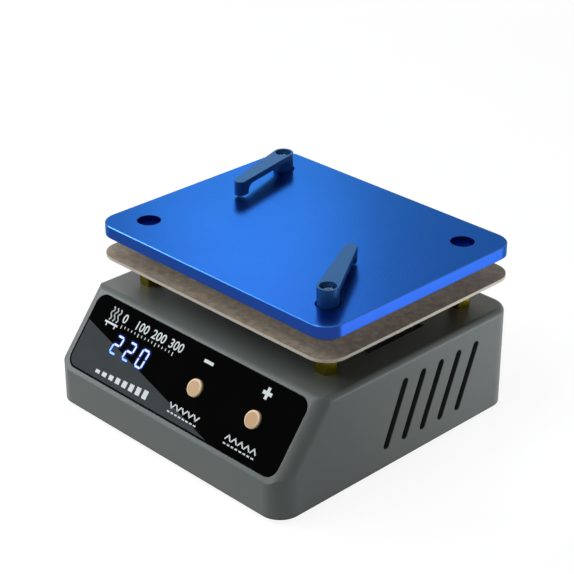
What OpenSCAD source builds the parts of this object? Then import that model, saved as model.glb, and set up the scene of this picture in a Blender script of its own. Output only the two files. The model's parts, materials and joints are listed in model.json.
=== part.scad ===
/* [Housing] */
// Width of the housing, left to right
body_w = 80.8; // [79:0.2:88]
// Depth of the housing, front to back
body_d = 80.2; // [79:0.2:88]
// Height of the housing, lower edge to top face
body_h = 26.8; // [26.4:0.2:31]
// Height of the upright front face below the slope
front_h = 8.9; // [8.5:0.1:9.5]
// Angle of the sloped face above the horizontal
slope_angle = 52; // [51:0.5:54]
// Radius of the upright corners seen from above
corner_r = 5.5; // [5:0.25:7]
// Wall thickness of the housing
wall = 2; // [1.8:0.1:2.3]
// Radius of the rounded top edges
top_edge_r = 1.6; // [0.4:0.1:2]
// Radius where the top face turns into the slope
crest_r = 2.1; // [1:0.1:2.1]
// Radius where the slope turns into the front face
brow_r = 0.8; // [0.4:0.2:2.4]
// Radius of the side edges of the slope
slope_side_r = 3; // [1:0.1:3]

/* [Air slots] */
// Number of slanted slots in each side
slot_count = 5; // [3:1:6]
// Distance between slanted slots
slot_pitch = 6.35; // [5:0.05:7]
// Length of a slanted slot, end to end
slot_l = 18.1; // [12:0.1:18.3]
// Width of a slanted slot
slot_w = 2; // [1.2:0.1:2.4]
// Lean of the slots from upright, tops to the back
slot_lean = 21.6; // [0:0.2:26]
// Height of the middle of the slots above the lower edge
slot_mid_h = 13.3; // [12.5:0.1:14]
// Distance from the back of the housing to the middle slot
slot_back = 29.5; // [27:0.1:32]
// Length of the slot in the top face, on each side
top_slot_l = 19.8; // [10:0.2:22]
// Width of the slot in the top face
top_slot_w = 2; // [1.2:0.1:2.4]
// Distance from the side of the housing to the top slot's middle
top_slot_inset = 9; // [8.4:0.1:9.2]
// Distance that the top slot lies forward of the plates' middle
top_slot_forward = 1; // [0:0.1:2]

/* [Bottom] */
// Thickness of the bottom cover
cover_t = 2; // [1.8:0.1:2.4]
// Gap around the bottom cover
cover_gap = 0.15; // [0.1:0.05:0.3]
// Diameter of a rubber foot
foot_d = 8; // [6:0.5:9]
// Distance that a foot stands below the housing
foot_out = 1.2; // [1:0.1:2]
// Depth of the pocket that holds a foot
foot_pocket = 0.8; // [0.5:0.1:1]
// Distance from the sides of the housing to a foot's middle
foot_inset = 12; // [11:0.5:14]
// Distance from the inner corner walls to a cover screw
cover_screw_inset = 3.2; // [3:0.1:3.6]

/* [Control panel] */
// Distance from the overlay to the sides of the housing
panel_side = 3.3; // [3.2:0.1:4]
// Distance from the overlay to the slope's lower end
panel_low = 1.5; // [1.2:0.05:1.6]
// Distance from the overlay to the slope's upper end
panel_high = 1.35; // [1.3:0.05:1.6]
// Thickness of the panel overlay
panel_t = 0.8; // [0.5:0.1:1]
// Gap around the overlay in its recess
panel_gap = 0.12; // [0.08:0.02:0.2]
// Corner radius of the overlay
panel_r = 3; // [2:0.25:4]
// Diameter of a push-button
button_d = 4.5; // [4:0.1:5]
// Gap around a push-button
button_gap = 0.2; // [0.15:0.05:0.3]
// Distance that a push-button stands proud of the overlay
button_proud = 0.5; // [0.3:0.1:0.8]
// Travel of a push-button
button_travel = 0.3; // [0.2:0.05:0.4]
// Distance from the overlay's right edge to the raising button
plus_in = 12.7; // [11:0.1:15]
// Distance between the two buttons
button_pitch = 19.8; // [17:0.1:21]
// Height of a display digit
digit_h = 5.1; // [4:0.1:6]
// Width of a display digit
digit_w = 2.7; // [2:0.1:3]
// Distance between digits
digit_pitch = 4.8; // [4:0.1:5.2]
// Distance from the overlay's left edge to the middle digit
display_in = 17.7; // [17:0.1:19]

/* [Plates] */
// Width of the heating plate
plate_w = 80; // [78:0.5:84]
// Depth of the heating plate
plate_d = 65.4; // [64:0.2:68]
// Thickness of the heating plate
plate_t = 3.3; // [3:0.1:4]
// Corner radius of the heating plate
plate_r = 5.3; // [4:0.1:6]
// Chamfer along the edges of the heating plate
plate_chamfer = 0.2; // [0.1:0.05:0.5]
// Distance from the plate's side to a corner hole's middle
hole_in_x = 9; // [8.6:0.1:9.6]
// Distance from the plate's front or back to a corner hole's middle
hole_in_y = 9.5; // [9:0.1:10]
// Diameter of the counterbore at each corner hole
counterbore_d = 6; // [5.8:0.1:6.4]
// Depth of the counterbore at each corner hole
counterbore_h = 2.1; // [1.9:0.1:2.3]
// Width of the insulation board
board_w = 80.6; // [79:0.2:84]
// Depth of the insulation board
board_d = 65.6; // [64:0.2:68]
// Thickness of the insulation board
board_t = 0.8; // [0.6:0.1:1.2]
// Corner radius of the insulation board
board_r = 5.9; // [4:0.1:7]
// Distance from the housing's back to the middle of the plates
plates_back = 32.7; // [32:0.1:33]
// Length of the hexagonal standoffs below the insulation board
standoff_l = 8; // [7:0.5:10]
// Width of the standoffs across flats
standoff_af = 5; // [4.5:0.1:5.5]
// Turn of the standoffs about their axis
standoff_turn = 5; // [0:5:30]
// Length of the spacers above the insulation board
spacer_l = 5; // [4.6:0.1:6]
// Diameter of the spacers
spacer_d = 4.5; // [4:0.1:5]
// Diameter of the standoff, spacer and plate screws
bolt_d = 2.4; // [2.3:0.05:2.5]
// Clearance around a bolt in its hole
bolt_gap = 0.1; // [0.05:0.05:0.2]

/* [Heater] */
// Width of the ceramic heating element
heater_w = 44; // [38:1:46]
// Depth of the ceramic heating element
heater_d = 30; // [24:1:34]
// Thickness of the ceramic heating element
heater_t = 1.3; // [1:0.1:1.5]
// Width of the strap across the element
strap_w = 10; // [8:0.5:14]
// Thickness of the strap
strap_t = 0.6; // [0.5:0.1:0.8]
// Distance from the middle to the leads that go down
leads_x = 26; // [25.6:0.1:26.2]
// Diameter of a heater lead
lead_d = 1.4; // [1:0.1:1.6]

/* [Clamps] */
// Radius of the arm's boss
boss_r = 2.6; // [2.5:0.05:2.75]
// Radius of the arm's tip
tip_r = 1.5; // [1.2:0.05:2.2]
// Distance from the boss to the tip's middle
arm_l = 21.2; // [16:0.1:24]
// Height of the arm's top above the heating plate
arm_top = 4.6; // [4.4:0.1:5.2]
// Thickness of the arm's bar
arm_bar = 1.5; // [1.2:0.1:2.2]
// Height of the tip's foot above the heating plate
foot_lift = 0.8; // [0.5:0.1:1.2]
// Direction of the front arm, from the right side
front_arm_angle = 119.6; // [90:0.2:140]
// Direction of the rear arm, from the right side
rear_arm_angle = -75.2; // [-100:0.2:-45]
// Distance that an arm can be lifted
arm_lift = 1.2; // [0.8:0.1:1.2]

/* [Rear] */
// Place of the power inlet, left of the middle
inlet_x = 14; // [13:0.5:15]
// Place of the power switch, right of the middle
switch_x = 18; // [16:0.5:20]
// Height of the inlet and the switch above the lower edge
rear_h = 13.4; // [13:0.1:14]
// Length of the rocker
rocker_l = 10.2; // [9:0.2:11]
// Tilt of the rocker to either side
rocker_tilt = 10; // [8:1:12]

/* [Hidden] */
$fn = 64;

// Reach past a face that a cut starts or ends outside of
over = 1;
// Running clearance between flat faces of pieces that move apart
face_gap = 0.05;
// Clearance around a moulding in its opening
fit_gap = 0.1;

// Rocker of the power switch: its pivot lies just inside the back face
rocker_rise = 2.3;
rocker_w = 6.4;
rocker_drop = 1;
rocker_pin_d = 2;
rocker_pin_gap = 0.06;
rocker_pin_room = 0.15;
rocker_belly = 3;
rocker_dish_r = 12.9;
rocker_dish = 0.9;
pivot_in = 0.8;
rocker_reach = norm([rocker_l / 2, rocker_rise]);
rear_out = rocker_reach * sin(atan2(rocker_rise, rocker_l / 2) + rocker_tilt) - pivot_in;

// Heights of the stack, from the surface that the feet stand on
base_z = foot_out;
top_z = base_z + body_h;
board_z = top_z + standoff_l;
plate_z = board_z + board_t + spacer_l;
work_z = plate_z + plate_t;
seat_z = work_z - counterbore_h;

// Places from front to back
front_y = -(body_d + rear_out) / 2;
back_y = front_y + body_d;
plates_y = back_y - plates_back;
hole_x = plate_w / 2 - hole_in_x;
hole_y = plate_d / 2 - hole_in_y;
slope_l = (body_h - front_h) / sin(slope_angle);

// Panel overlay: it fills the slope but for its margins
panel_w = body_w - 2 * panel_side;
panel_l = slope_l - panel_low - panel_high;
panel_mid = panel_low + panel_l / 2;
plus_x = panel_w / 2 - plus_in;
minus_x = plus_x - button_pitch;
display_x = panel_w / 2 - display_in;

// Inside of the housing
inner_w = body_w - 2 * wall;
inner_d = body_d - 2 * wall;
inner_r = corner_r - wall;
ceiling_z = top_z - wall;
floor_z = base_z + cover_t;

// Rounding of the feet where they stand
foot_edge_r = 0.4;

// Screws that hold the standoffs from inside the housing
pad_h = 1.6;
pad_d = 8;
bolt_head_d = 4.6;
bolt_head_h = 1.5;
head_room = 0.4;
bolt_reach = 4;
stud_reach = 3;
hole_d = bolt_d + 2 * bolt_gap;
thread_d = bolt_d + bolt_gap;

// Bottom cover: screws go up into the corner columns of the housing
cover_w = inner_w - 2 * cover_gap;
cover_d = inner_d - 2 * cover_gap;
cover_screw_x = inner_w / 2 - cover_screw_inset;
cover_screw_y = inner_d / 2 - cover_screw_inset;
body_mid_y = front_y + body_d / 2;
column_d = 6;
cover_head_d = 4.4;
cover_head_h = 1.4;
cover_boss_h = 1.4;
cover_boss_d = 8;
cover_screw_d = 2.2;
cover_screw_l = 7;
vent_count = 7;
vent_pitch = 4;
vent_l = 22;
vent_w = 1.6;

// Power board on posts of the bottom cover
pcb_w = 62;
pcb_d = 36;
pcb_t = 1.6;
pcb_edge = 3;
pcb_post_h = 4;
pcb_post_d = 5;
pcb_post_floor = 0.5;
pcb_forward = 7.9;
pcb_corner_r = 1;
pcb_y = plates_y - pcb_forward;
pcb_z = floor_z + pcb_post_h;
pcb_top = pcb_z + pcb_t;
pcb_hole_x = pcb_w / 2 - pcb_edge;
pcb_hole_y = pcb_d / 2 - pcb_edge;
pcb_screw_d = 2.2;
pcb_screw_l = 4.8;
pcb_head_d = 4;
pcb_head_h = 1.4;

// Display module between the control board and the overlay
module_side = 1.5;
module_w = 2 * (digit_pitch + module_side) + digit_w;
module_l = digit_h + 2.8;
module_gap = 0.2;
segment_w = 0.65;
segment_gap = 0.1;
digit_slant = 7;
digit_t = 0.3;
lens_in = 0.4;
lens_w = module_w - 2 * lens_in;
lens_l = module_l - 2 * lens_in;
lens_r = 0.5;
lens_t = 0.5;
lens_gap = 0.02;
module_top = lens_t + lens_gap;

// Control board behind the slope, on posts of the housing just outside the display module
cb_l = 15;
cb_t = 1.2;
cb_depth = 7.5;
cb_edge = 2.4;
cb_post_d = 4.4;
cb_hole_x = display_x + module_w / 2 + cb_post_d / 2 + 2 * module_gap;
cb_hole_up = cb_l / 2 - cb_edge;
cb_w = 2 * (cb_hole_x + cb_edge);
cb_screw_d = 1.8;
cb_screw_l = 4.6;
cb_head_d = 3.4;
cb_head_h = 1.2;
cb_corner_r = 1;
chip_x = (minus_x + plus_x) / 2;
chip_l = 10;
chip_w = 4;
chip_t = 1.5;
chip_lift = 0.1;
chip_leg = 0.4;
chip_leg_l = 1.2;
chip_leg_pitch = 1.27;

// Tact switches and the buttons above them
tact_w = 6;
tact_h = 3.5;
tact_bore_h = 1.4;
plunger_d = 3.4;
plunger_gap = 0.1;
plunger_out = 0.7;
plunger_in = 0.7;
button_flange_d = 6.4;
button_flange_t = 0.8;
button_stem_in = 0.6;
button_edge_r = 0.35;

// Clamp pieces inside the boss
boss_bottom = seat_z + 0.1;
boss_floor = boss_bottom + 1;
boss_bore_r = 2.05;
arm_z = work_z + arm_top;
washer_r = 1.85;
washer_t = 0.3;
clamp_head_t = 1.4;
clamp_head_in = 1.1;
clamp_head_r = 0.6;
socket_d = 2.3;
socket_floor = 0.5;
shank_gap = 0.08;
clamp_head_z = arm_z - clamp_head_in - clamp_head_t;
spring_wire = 0.3;
spring_turns = 3.5;
spring_r = 1.55;
arch_r = 2;

// Power inlet and power switch in the rear wall
inlet_flange_w = 27;
inlet_flange_h = 17;
inlet_flange_t = 1.5;
inlet_flange_r = 2.5;
inlet_body_r = 2;
inlet_body_w = 22;
inlet_body_h = 13;
inlet_body_d = 14;
inlet_pocket_w = 19;
inlet_pocket_h = 10;
inlet_pocket_d = 12.5;
pin_gap_x = 8.6;
pin_d = 2.4;
pin_l = 9;
tab_w = 4;
tab_t = 0.8;
tab_l = 5;
switch_bezel_w = 15;
switch_bezel_h = 10.4;
switch_bezel_t = 1;
switch_bezel_r = 1;
switch_body_w = 13.2;
switch_body_h = 8.4;
switch_body_d = 9;
switch_tab_x = 3.5;
switch_pin_l = switch_body_h - 0.9;
switch_well = 6.3;
switch_window_w = rocker_l + 1.4;
switch_window_h = rocker_w + 0.5;
rear_z = base_z + rear_h;

// Leads through the housing top
grommet_hole_d = 6.4;
grommet_flange_d = 8.2;
grommet_flange_t = 0.7;
grommet_bore_d = 4.8;
lead_gap_y = 1.3;
lead_bend_r = 2.5;
lead_end_gap = 0.3;
block_w = 7;
block_d = 9;
block_h = 8.5;
block_bore = 3;
block_screw_d = 2.4;
block_screw_z = 2.6;
sensor_lead_d = 0.9;
sensor_lead_gap = 0.7;
sensor_bend_r = 2;
connector_w = 5;
connector_d = 7;
connector_h = 6;
connector_bore = 2.5;

// Convex corner c between edges that leave it at angles a1 and a2, to be cut off at radius r
module corner_trim(c, a1, a2, r) {
    half = (a2 - a1) / 2;
    reach = r / tan(half);
    mid = [cos(a1 + half), sin(a1 + half)];
    centre = c + mid * r / sin(half);
    difference() {
        polygon([
            c + reach * [cos(a1), sin(a1)], c - mid,
            c + reach * [cos(a2), sin(a2)], centre
        ]);
        translate(centre) circle(r);
    }
}

module rounded_rect(w, d, r) {
    square([w - 2 * r, d], center = true);
    square([w, d - 2 * r], center = true);
    for (x = [-1, 1], y = [-1, 1]) translate([x * (w / 2 - r), y * (d / 2 - r)]) circle(r);
}

module round_slot(l, w) {
    square([l - w, w], center = true);
    for (x = [-1, 1]) translate([x * (l - w) / 2, 0]) circle(w / 2);
}

// Draws a profile of depth and height, and extrudes it w wide across the object
module across(w) {
    translate([-w / 2, 0, 0]) rotate([90, 0, 90]) linear_extrude(w) children();
}

// Draws a profile of width and height, and extrudes it d deep, front to back
module along(d) {
    translate([0, d / 2, 0]) rotate([90, 0, 0]) linear_extrude(d) children();
}

module round_topped(w, h, r) {
    difference() {
        translate([-w / 2, 0]) square([w, h]);
        corner_trim([w / 2, h], 180, 270, r);
        corner_trim([-w / 2, h], 270, 360, r);
    }
}

// Block with upright corners of radius r and a top edge rounded to edge_r
module soft_block(w, d, h, r, edge_r) {
    across(w - 2 * r) round_topped(d, h, edge_r);
    along(d - 2 * r) round_topped(w, h, edge_r);
    for (x = [-1, 1], y = [-1, 1])
        translate([x * (w / 2 - r), y * (d / 2 - r), 0]) rotate_extrude() difference() {
            square([r, h]);
            corner_trim([r, h], 180, 270, edge_r);
        }
}

module chamfered(w, h, c) {
    x = w / 2;
    polygon([[-x + c, 0], [x - c, 0], [x, c], [x, h - c], [x - c, h], [-x + c, h], [-x, h - c], [-x, c]]);
}

// Plate with rounded corners and a chamfer all round, above and below
module chamfered_plate(w, d, t, r, c) {
    across(w - 2 * r) chamfered(d, t, c);
    along(d - 2 * r) chamfered(w, t, c);
    for (x = [-1, 1], y = [-1, 1])
        translate([x * (w / 2 - r), y * (d / 2 - r), 0]) rotate_extrude()
            polygon([[0, 0], [r - c, 0], [r, c], [r, t - c], [r - c, t], [0, t]]);
}

// Places its children on the sloped face: x to the right, y up the slope, z out of the face
module on_slope() {
    translate([0, front_y, base_z + front_h]) rotate([slope_angle, 0, 0]) children();
}

module at_corner_holes() {
    for (x = [-1, 1], y = [-1, 1]) translate([x * hole_x, plates_y + y * hole_y, 0]) children();
}

module at_clamp_holes() {
    for (s = [-1, 1]) translate([s * hole_x, plates_y - s * hole_y, 0]) children();
}

module at_cover_screws() {
    for (x = [-1, 1], y = [-1, 1])
        translate([x * cover_screw_x, body_mid_y + y * cover_screw_y, 0]) children();
}

// Screw with a domed head on z = 0 and its shank below; the recess is a cross
module pan_screw(d, l, head_d, head_h) {
    dome_r = head_h * 0.6;
    cross_l = head_d * 0.6;
    cross_w = head_d * 0.12;
    translate([0, 0, -l]) cylinder(d = d, h = l + head_h / 2);
    difference() {
        rotate_extrude() difference() {
            square([head_d / 2, head_h]);
            corner_trim([head_d / 2, head_h], 180, 270, dome_r);
        }
        for (a = [0, 90]) rotate(a)
            translate([-cross_l / 2, -cross_w / 2, head_h / 2]) cube([cross_l, cross_w, head_h]);
    }
}

// Points along a smooth curve through the points p, n steps to a stretch
function blend_point(a, b, c, d, t) =
    (2 * b + (c - a) * t + (2 * a - 5 * b + 4 * c - d) * t * t + (3 * b - a - 3 * c + d) * t * t * t) / 2;
function smooth_path(p, n) = [
    for (i = [0 : len(p) - 2], k = [0 : n - 1])
        blend_point(p[max(i - 1, 0)], p[i], p[i + 1], p[min(i + 2, len(p) - 1)], k / n),
    p[len(p) - 1]
];
function unit(v) = v / norm(v);
function heading(p, i) = unit(p[min(i + 1, len(p) - 1)] - p[max(i - 1, 0)]);
function ring(p, t, r, up, sides) =
    let (u = unit(cross(t, up)), v = cross(u, t))
    [for (k = [0 : sides - 1]) p + r * (u * cos(k * 360 / sides) + v * sin(k * 360 / sides))];

// Round wire along the points p; up is a direction that the wire never takes
module wire(p, d, up, sides = 8) {
    rings = len(p);
    points = [for (i = [0 : rings - 1]) each ring(p[i], heading(p, i), d / 2, up, sides)];
    sides_list = [
        for (i = [0 : rings - 2], k = [0 : sides - 1])
            [i * sides + k, (i + 1) * sides + k, (i + 1) * sides + (k + 1) % sides, i * sides + (k + 1) % sides]
    ];
    first = [for (k = [0 : sides - 1]) k];
    last = [for (k = [sides - 1 : -1 : 0]) (rings - 1) * sides + k];
    polyhedron(points, concat(sides_list, [first, last]), convexity = 6);
}

module rubber_feet() {
    foot_top = foot_out + foot_pocket;
    color("#202124") for (x = [-1, 1], y = [-1, 1])
        translate([x * (body_w / 2 - foot_inset), body_mid_y + y * (body_d / 2 - foot_inset), 0])
            rotate_extrude() difference() {
                square([foot_d / 2, foot_top]);
                corner_trim([foot_d / 2, 0], 90, 180, foot_edge_r);
            }
}

module cover_blank(h) {
    translate([0, body_mid_y, base_z]) linear_extrude(h) rounded_rect(cover_w, cover_d, inner_r - cover_gap);
}

module bottom_cover() {
    color("#3b3c3b") difference() {
        union() {
            cover_blank(cover_t);
            intersection() {
                cover_blank(cover_t + cover_boss_h);
                at_cover_screws() translate([0, 0, base_z])
                    cylinder(d = cover_boss_d, h = cover_t + cover_boss_h);
            }
            translate([0, pcb_y, floor_z]) for (x = [-1, 1], y = [-1, 1])
                translate([x * pcb_hole_x, y * pcb_hole_y, 0]) cylinder(d = pcb_post_d, h = pcb_post_h);
        }
        for (x = [-1, 1], y = [-1, 1])
            translate([x * (body_w / 2 - foot_inset), body_mid_y + y * (body_d / 2 - foot_inset), base_z - over])
                cylinder(d = foot_d, h = foot_pocket + over);
        at_cover_screws() translate([0, 0, base_z - over]) {
            cylinder(d = cover_head_d + head_room, h = cover_head_h + head_room + over);
            cylinder(d = cover_screw_d + head_room, h = cover_t + cover_boss_h + 2 * over);
        }
        translate([0, pcb_y, floor_z]) for (x = [-1, 1], y = [-1, 1])
            translate([x * pcb_hole_x, y * pcb_hole_y, pcb_post_floor])
                cylinder(d = pcb_screw_d + bolt_gap, h = pcb_post_h);
        translate([0, body_mid_y, base_z - over]) for (i = [0 : vent_count - 1])
            translate([0, (i - (vent_count - 1) / 2) * vent_pitch, 0])
                linear_extrude(cover_t + 2 * over) round_slot(vent_l, vent_w);
    }
}

module cover_screws() {
    color("#8d9094") at_cover_screws() translate([0, 0, base_z + cover_head_h + head_room])
        mirror([0, 0, 1]) pan_screw(cover_screw_d, cover_screw_l, cover_head_d, cover_head_h);
}

// Side view of the housing, from its front lower edge: depth to the right, height up
module side_profile() {
    crest = [slope_l * cos(slope_angle), body_h];
    difference() {
        polygon([[0, 0], [0, front_h], crest, [body_d, body_h], [body_d, 0]]);
        corner_trim([0, front_h], -90, slope_angle, brow_r);
        corner_trim(crest, slope_angle - 180, 0, crest_r);
    }
}

module housing_outside() {
    intersection() {
        translate([0, body_mid_y, base_z]) soft_block(body_w, body_d, body_h, corner_r, top_edge_r);
        translate([0, front_y, base_z]) across(body_w) side_profile();
        on_slope() translate([0, 0, -2 * body_d]) along(4 * body_d)
            round_topped(body_w, 2 * body_d, slope_side_r);
    }
}

module housing_inside() {
    drop = [wall * sin(slope_angle), front_h - wall * cos(slope_angle)];
    low = drop[1] + (wall - drop[0]) * tan(slope_angle);
    high = drop[0] + (body_h - wall - drop[1]) / tan(slope_angle);
    intersection() {
        translate([0, front_y, base_z]) across(inner_w) polygon([
            [wall, -over], [wall, low], [high, body_h - wall],
            [body_d - wall, body_h - wall], [body_d - wall, -over]
        ]);
        translate([0, body_mid_y, base_z - 2 * over]) linear_extrude(body_h + 4 * over)
            rounded_rect(inner_w, inner_d, inner_r);
    }
}

// Columns for the cover screws, pads under the standoffs and posts for the control board
module housing_inner_posts() {
    column_z = floor_z + cover_boss_h + 2 * face_gap;
    at_cover_screws() translate([0, 0, column_z]) cylinder(d = column_d, h = top_z - column_z - wall / 2);
    at_corner_holes() translate([0, 0, ceiling_z - pad_h]) cylinder(d = pad_d, h = pad_h + wall / 2);
    on_slope() translate([0, panel_mid, -cb_depth]) for (x = [-1, 1], y = [-1, 1])
        translate([x * cb_hole_x, y * cb_hole_up, 0]) cylinder(d = cb_post_d, h = cb_depth - wall / 2 - panel_t / 2);
}

module air_slots() {
    for (x = [-1, 1], i = [0 : slot_count - 1])
        translate([x * (body_w / 2 - wall / 2), back_y - slot_back + (i - (slot_count - 1) / 2) * slot_pitch,
            base_z + slot_mid_h])
            across(wall + 2 * over) rotate(90 - slot_lean) round_slot(slot_l, slot_w);
    for (x = [-1, 1])
        translate([x * (body_w / 2 - top_slot_inset) - top_slot_w / 2,
            plates_y - top_slot_forward - top_slot_l / 2, ceiling_z - over])
            cube([top_slot_w, top_slot_l, wall + 2 * over]);
}

module panel_openings() {
    on_slope() {
        translate([0, panel_mid, -panel_t])
            linear_extrude(panel_t + over) rounded_rect(panel_w + 2 * panel_gap, panel_l + 2 * panel_gap,
                panel_r + panel_gap);
        translate([-display_x, panel_mid, -wall - over]) linear_extrude(wall + over)
            square([module_w + 2 * module_gap, module_l + 2 * module_gap], center = true);
        for (x = [minus_x, plus_x]) translate([x, panel_mid, -wall - over])
            cylinder(d = button_d + 2 * button_gap, h = wall + over);
    }
}

module housing_drillings() {
    at_corner_holes() translate([0, 0, ceiling_z - pad_h - over]) cylinder(d = hole_d, h = wall + pad_h + 2 * over);
    at_corner_holes() translate([0, 0, ceiling_z - pad_h - bolt_head_h - head_room])
        cylinder(d = bolt_head_d + 2 * head_room, h = bolt_head_h + head_room);
    at_cover_screws() translate([0, 0, floor_z]) cylinder(d = cover_screw_d + bolt_gap, h = cover_screw_l + over);
    for (x = [-1, 1]) translate([x * leads_x, plates_y, ceiling_z - over])
        cylinder(d = grommet_hole_d, h = wall + 2 * over);
    on_slope() translate([0, panel_mid, -cb_depth - over]) for (x = [-1, 1], y = [-1, 1])
        translate([x * cb_hole_x, y * cb_hole_up, 0]) cylinder(d = cb_screw_d + bolt_gap, h = over + cb_screw_l);
    translate([-inlet_x, back_y - wall / 2, rear_z]) along(wall + 2 * over)
        rounded_rect(inlet_body_w + 2 * fit_gap, inlet_body_h + 2 * fit_gap, inlet_body_r + fit_gap);
    translate([switch_x, back_y - wall / 2, rear_z]) along(wall + 2 * over)
        square([switch_body_w + 2 * fit_gap, switch_body_h + 2 * fit_gap], center = true);
}

module housing() {
    color("#5a5f5e") difference() {
        union() {
            difference() {
                housing_outside();
                housing_inside();
            }
            intersection() {
                housing_outside();
                housing_inner_posts();
            }
        }
        panel_openings();
        air_slots();
        housing_drillings();
    }
}

module control_panel() {
    color("#0c0d0d") on_slope() difference() {
        translate([0, panel_mid, -panel_t])
            linear_extrude(panel_t) rounded_rect(panel_w, panel_l, panel_r);
        for (x = [minus_x, plus_x]) translate([x, panel_mid, -panel_t - over])
            cylinder(d = button_d + 2 * button_gap, h = panel_t + 2 * over);
        translate([-display_x, panel_mid, -panel_t - over]) linear_extrude(panel_t + 2 * over)
            rounded_rect(lens_w, lens_l, lens_r);
    }
}

// Smoked window over the display, flush with the overlay
module display_lens() {
    color("#141518") on_slope() translate([-display_x, panel_mid, -lens_t]) linear_extrude(lens_t)
        rounded_rect(lens_w - 2 * lens_gap, lens_l - 2 * lens_gap, lens_r - lens_gap);
}

module control_board() {
    color("#1f6b45") on_slope() translate([0, panel_mid, -cb_depth - cb_t]) difference() {
        linear_extrude(cb_t) rounded_rect(cb_w, cb_l, cb_corner_r);
        for (x = [-1, 1], y = [-1, 1]) translate([x * cb_hole_x, y * cb_hole_up, -over])
            cylinder(d = cb_screw_d + 2 * bolt_gap, h = cb_t + 2 * over);
    }
}

module control_board_screws() {
    color("#a5a8ab") on_slope() translate([0, panel_mid, -cb_depth - cb_t]) for (x = [-1, 1], y = [-1, 1])
        translate([x * cb_hole_x, y * cb_hole_up, 0]) mirror([0, 0, 1])
            pan_screw(cb_screw_d, cb_screw_l, cb_head_d, cb_head_h);
}

// Outline of one bar of a digit, pointed at both ends, l long
module segment(l) {
    half = segment_w / 2;
    polygon([
        [-l / 2, 0], [-l / 2 + half, half], [l / 2 - half, half],
        [l / 2, 0], [l / 2 - half, -half], [-l / 2 + half, -half]
    ]);
}

// Bars of a digit, leaning to the right: the flat ones by height, the upright ones by side and height
module digit_bars(flats, uprights) {
    long = digit_h / 2 - segment_w / 2 - segment_gap;
    flat = digit_w - segment_w - segment_gap;
    lean = tan(digit_slant);
    for (y = flats) translate([y * lean * (digit_h - segment_w) / 2, y * (digit_h - segment_w) / 2])
        segment(flat);
    for (bar = uprights)
        translate([bar[0] * (digit_w - segment_w) / 2 + bar[1] * lean * (digit_h - segment_w) / 4,
            bar[1] * (digit_h - segment_w) / 4]) rotate(90 - digit_slant) segment(long);
}

// The number 220
module lit_bars() {
    for (i = [-1, 0]) translate([i * digit_pitch, 0]) digit_bars([-1, 0, 1], [[-1, -1], [1, 1]]);
    translate([digit_pitch, 0]) digit_bars([-1, 1], [[-1, -1], [-1, 1], [1, -1], [1, 1]]);
}

module display_module() {
    color("#1a1b1d") on_slope() difference() {
        translate([-display_x, panel_mid, -cb_depth]) union() {
            linear_extrude(cb_depth - panel_t - face_gap) square([module_w, module_l], center = true);
            linear_extrude(cb_depth - module_top)
                square([lens_w - 2 * lens_r, lens_l - 2 * lens_r], center = true);
        }
        translate([-display_x, panel_mid, -module_top - digit_t]) linear_extrude(digit_t + over) lit_bars();
    }
}

module display_digits() {
    color("#bcd0ff") on_slope() translate([-display_x, panel_mid, -module_top - digit_t])
        linear_extrude(digit_t) lit_bars();
}

module driver_chip() {
    color("#1c1d1e") on_slope() translate([chip_x, panel_mid, -cb_depth]) {
        translate([-chip_l / 2, -chip_w / 2, chip_lift]) cube([chip_l, chip_w, chip_t]);
        for (i = [-3 : 3], s = [-1, 1])
            translate([i * chip_leg_pitch - chip_leg / 2, s * (chip_w + chip_leg_l) / 2 - chip_leg_l / 2, 0])
                cube([chip_leg, chip_leg_l, chip_lift + chip_leg]);
    }
}

module tact_switches() {
    color("#3a3c3f") on_slope() for (x = [minus_x, plus_x]) translate([x, panel_mid, -cb_depth]) difference() {
        translate([-tact_w / 2, -tact_w / 2, 0]) cube([tact_w, tact_w, tact_h]);
        translate([0, 0, tact_h - tact_bore_h]) cylinder(d = plunger_d + 2 * plunger_gap, h = tact_bore_h + over);
    }
}

// Cap of a push-button: a domed top, a flange inside the wall and a stem on the plunger
module button(x) {
    r = button_d / 2;
    flange_top = -wall - button_travel / 2;
    stem_z = -cb_depth + tact_h + plunger_out;
    color("#d8a878") on_slope() translate([x, panel_mid, 0]) rotate_extrude() difference() {
        union() {
            translate([0, stem_z]) square([r - button_stem_in, -stem_z]);
            translate([0, flange_top - button_flange_t]) square([button_flange_d / 2, button_flange_t]);
            translate([0, flange_top - face_gap]) square([r, button_proud - flange_top + face_gap]);
        }
        corner_trim([r, button_proud], 180, 270, button_edge_r);
    }
}

module plunger(x) {
    color("#e6e3dc") on_slope() translate([x, panel_mid, -cb_depth + tact_h - plunger_in])
        cylinder(d = plunger_d, h = plunger_in + plunger_out);
}

module button_minus() { button(minus_x); }
module button_plus() { button(plus_x); }
module plunger_minus() { plunger(minus_x); }
module plunger_plus() { plunger(plus_x); }

// Flat cable from the back of the control board to the power board
ribbon_t = 0.7;
ribbon_w = 7;
ribbon_x = -3;
ribbon_bend = 2.5;
ribbon_lap = 3;
module ribbon_cable() {
    start_in = cb_depth + cb_t;
    start = [
        front_y + panel_mid * cos(slope_angle) + start_in * sin(slope_angle),
        base_z + front_h + panel_mid * sin(slope_angle) - start_in * cos(slope_angle)
    ];
    inward = [sin(slope_angle), -cos(slope_angle)];
    finish = [pcb_y - pcb_d / 2 + ribbon_lap, pcb_top + ribbon_t / 2];
    edge = finish - [ribbon_lap, 0];
    path = concat(
        smooth_path([start, start + ribbon_bend * inward, edge + [-ribbon_bend / 2, ribbon_t], edge], 6), [finish]);
    last = len(path) - 1;
    side = [for (i = [0 : last]) let (h = heading(path, i)) [-h[1], h[0]] * ribbon_t / 2];
    color("#b9bcc0") translate([ribbon_x, 0, 0]) across(ribbon_w) polygon(concat(
        [for (i = [0 : last]) path[i] + side[i]], [for (i = [last : -1 : 0]) path[i] - side[i]]));
}

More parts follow.
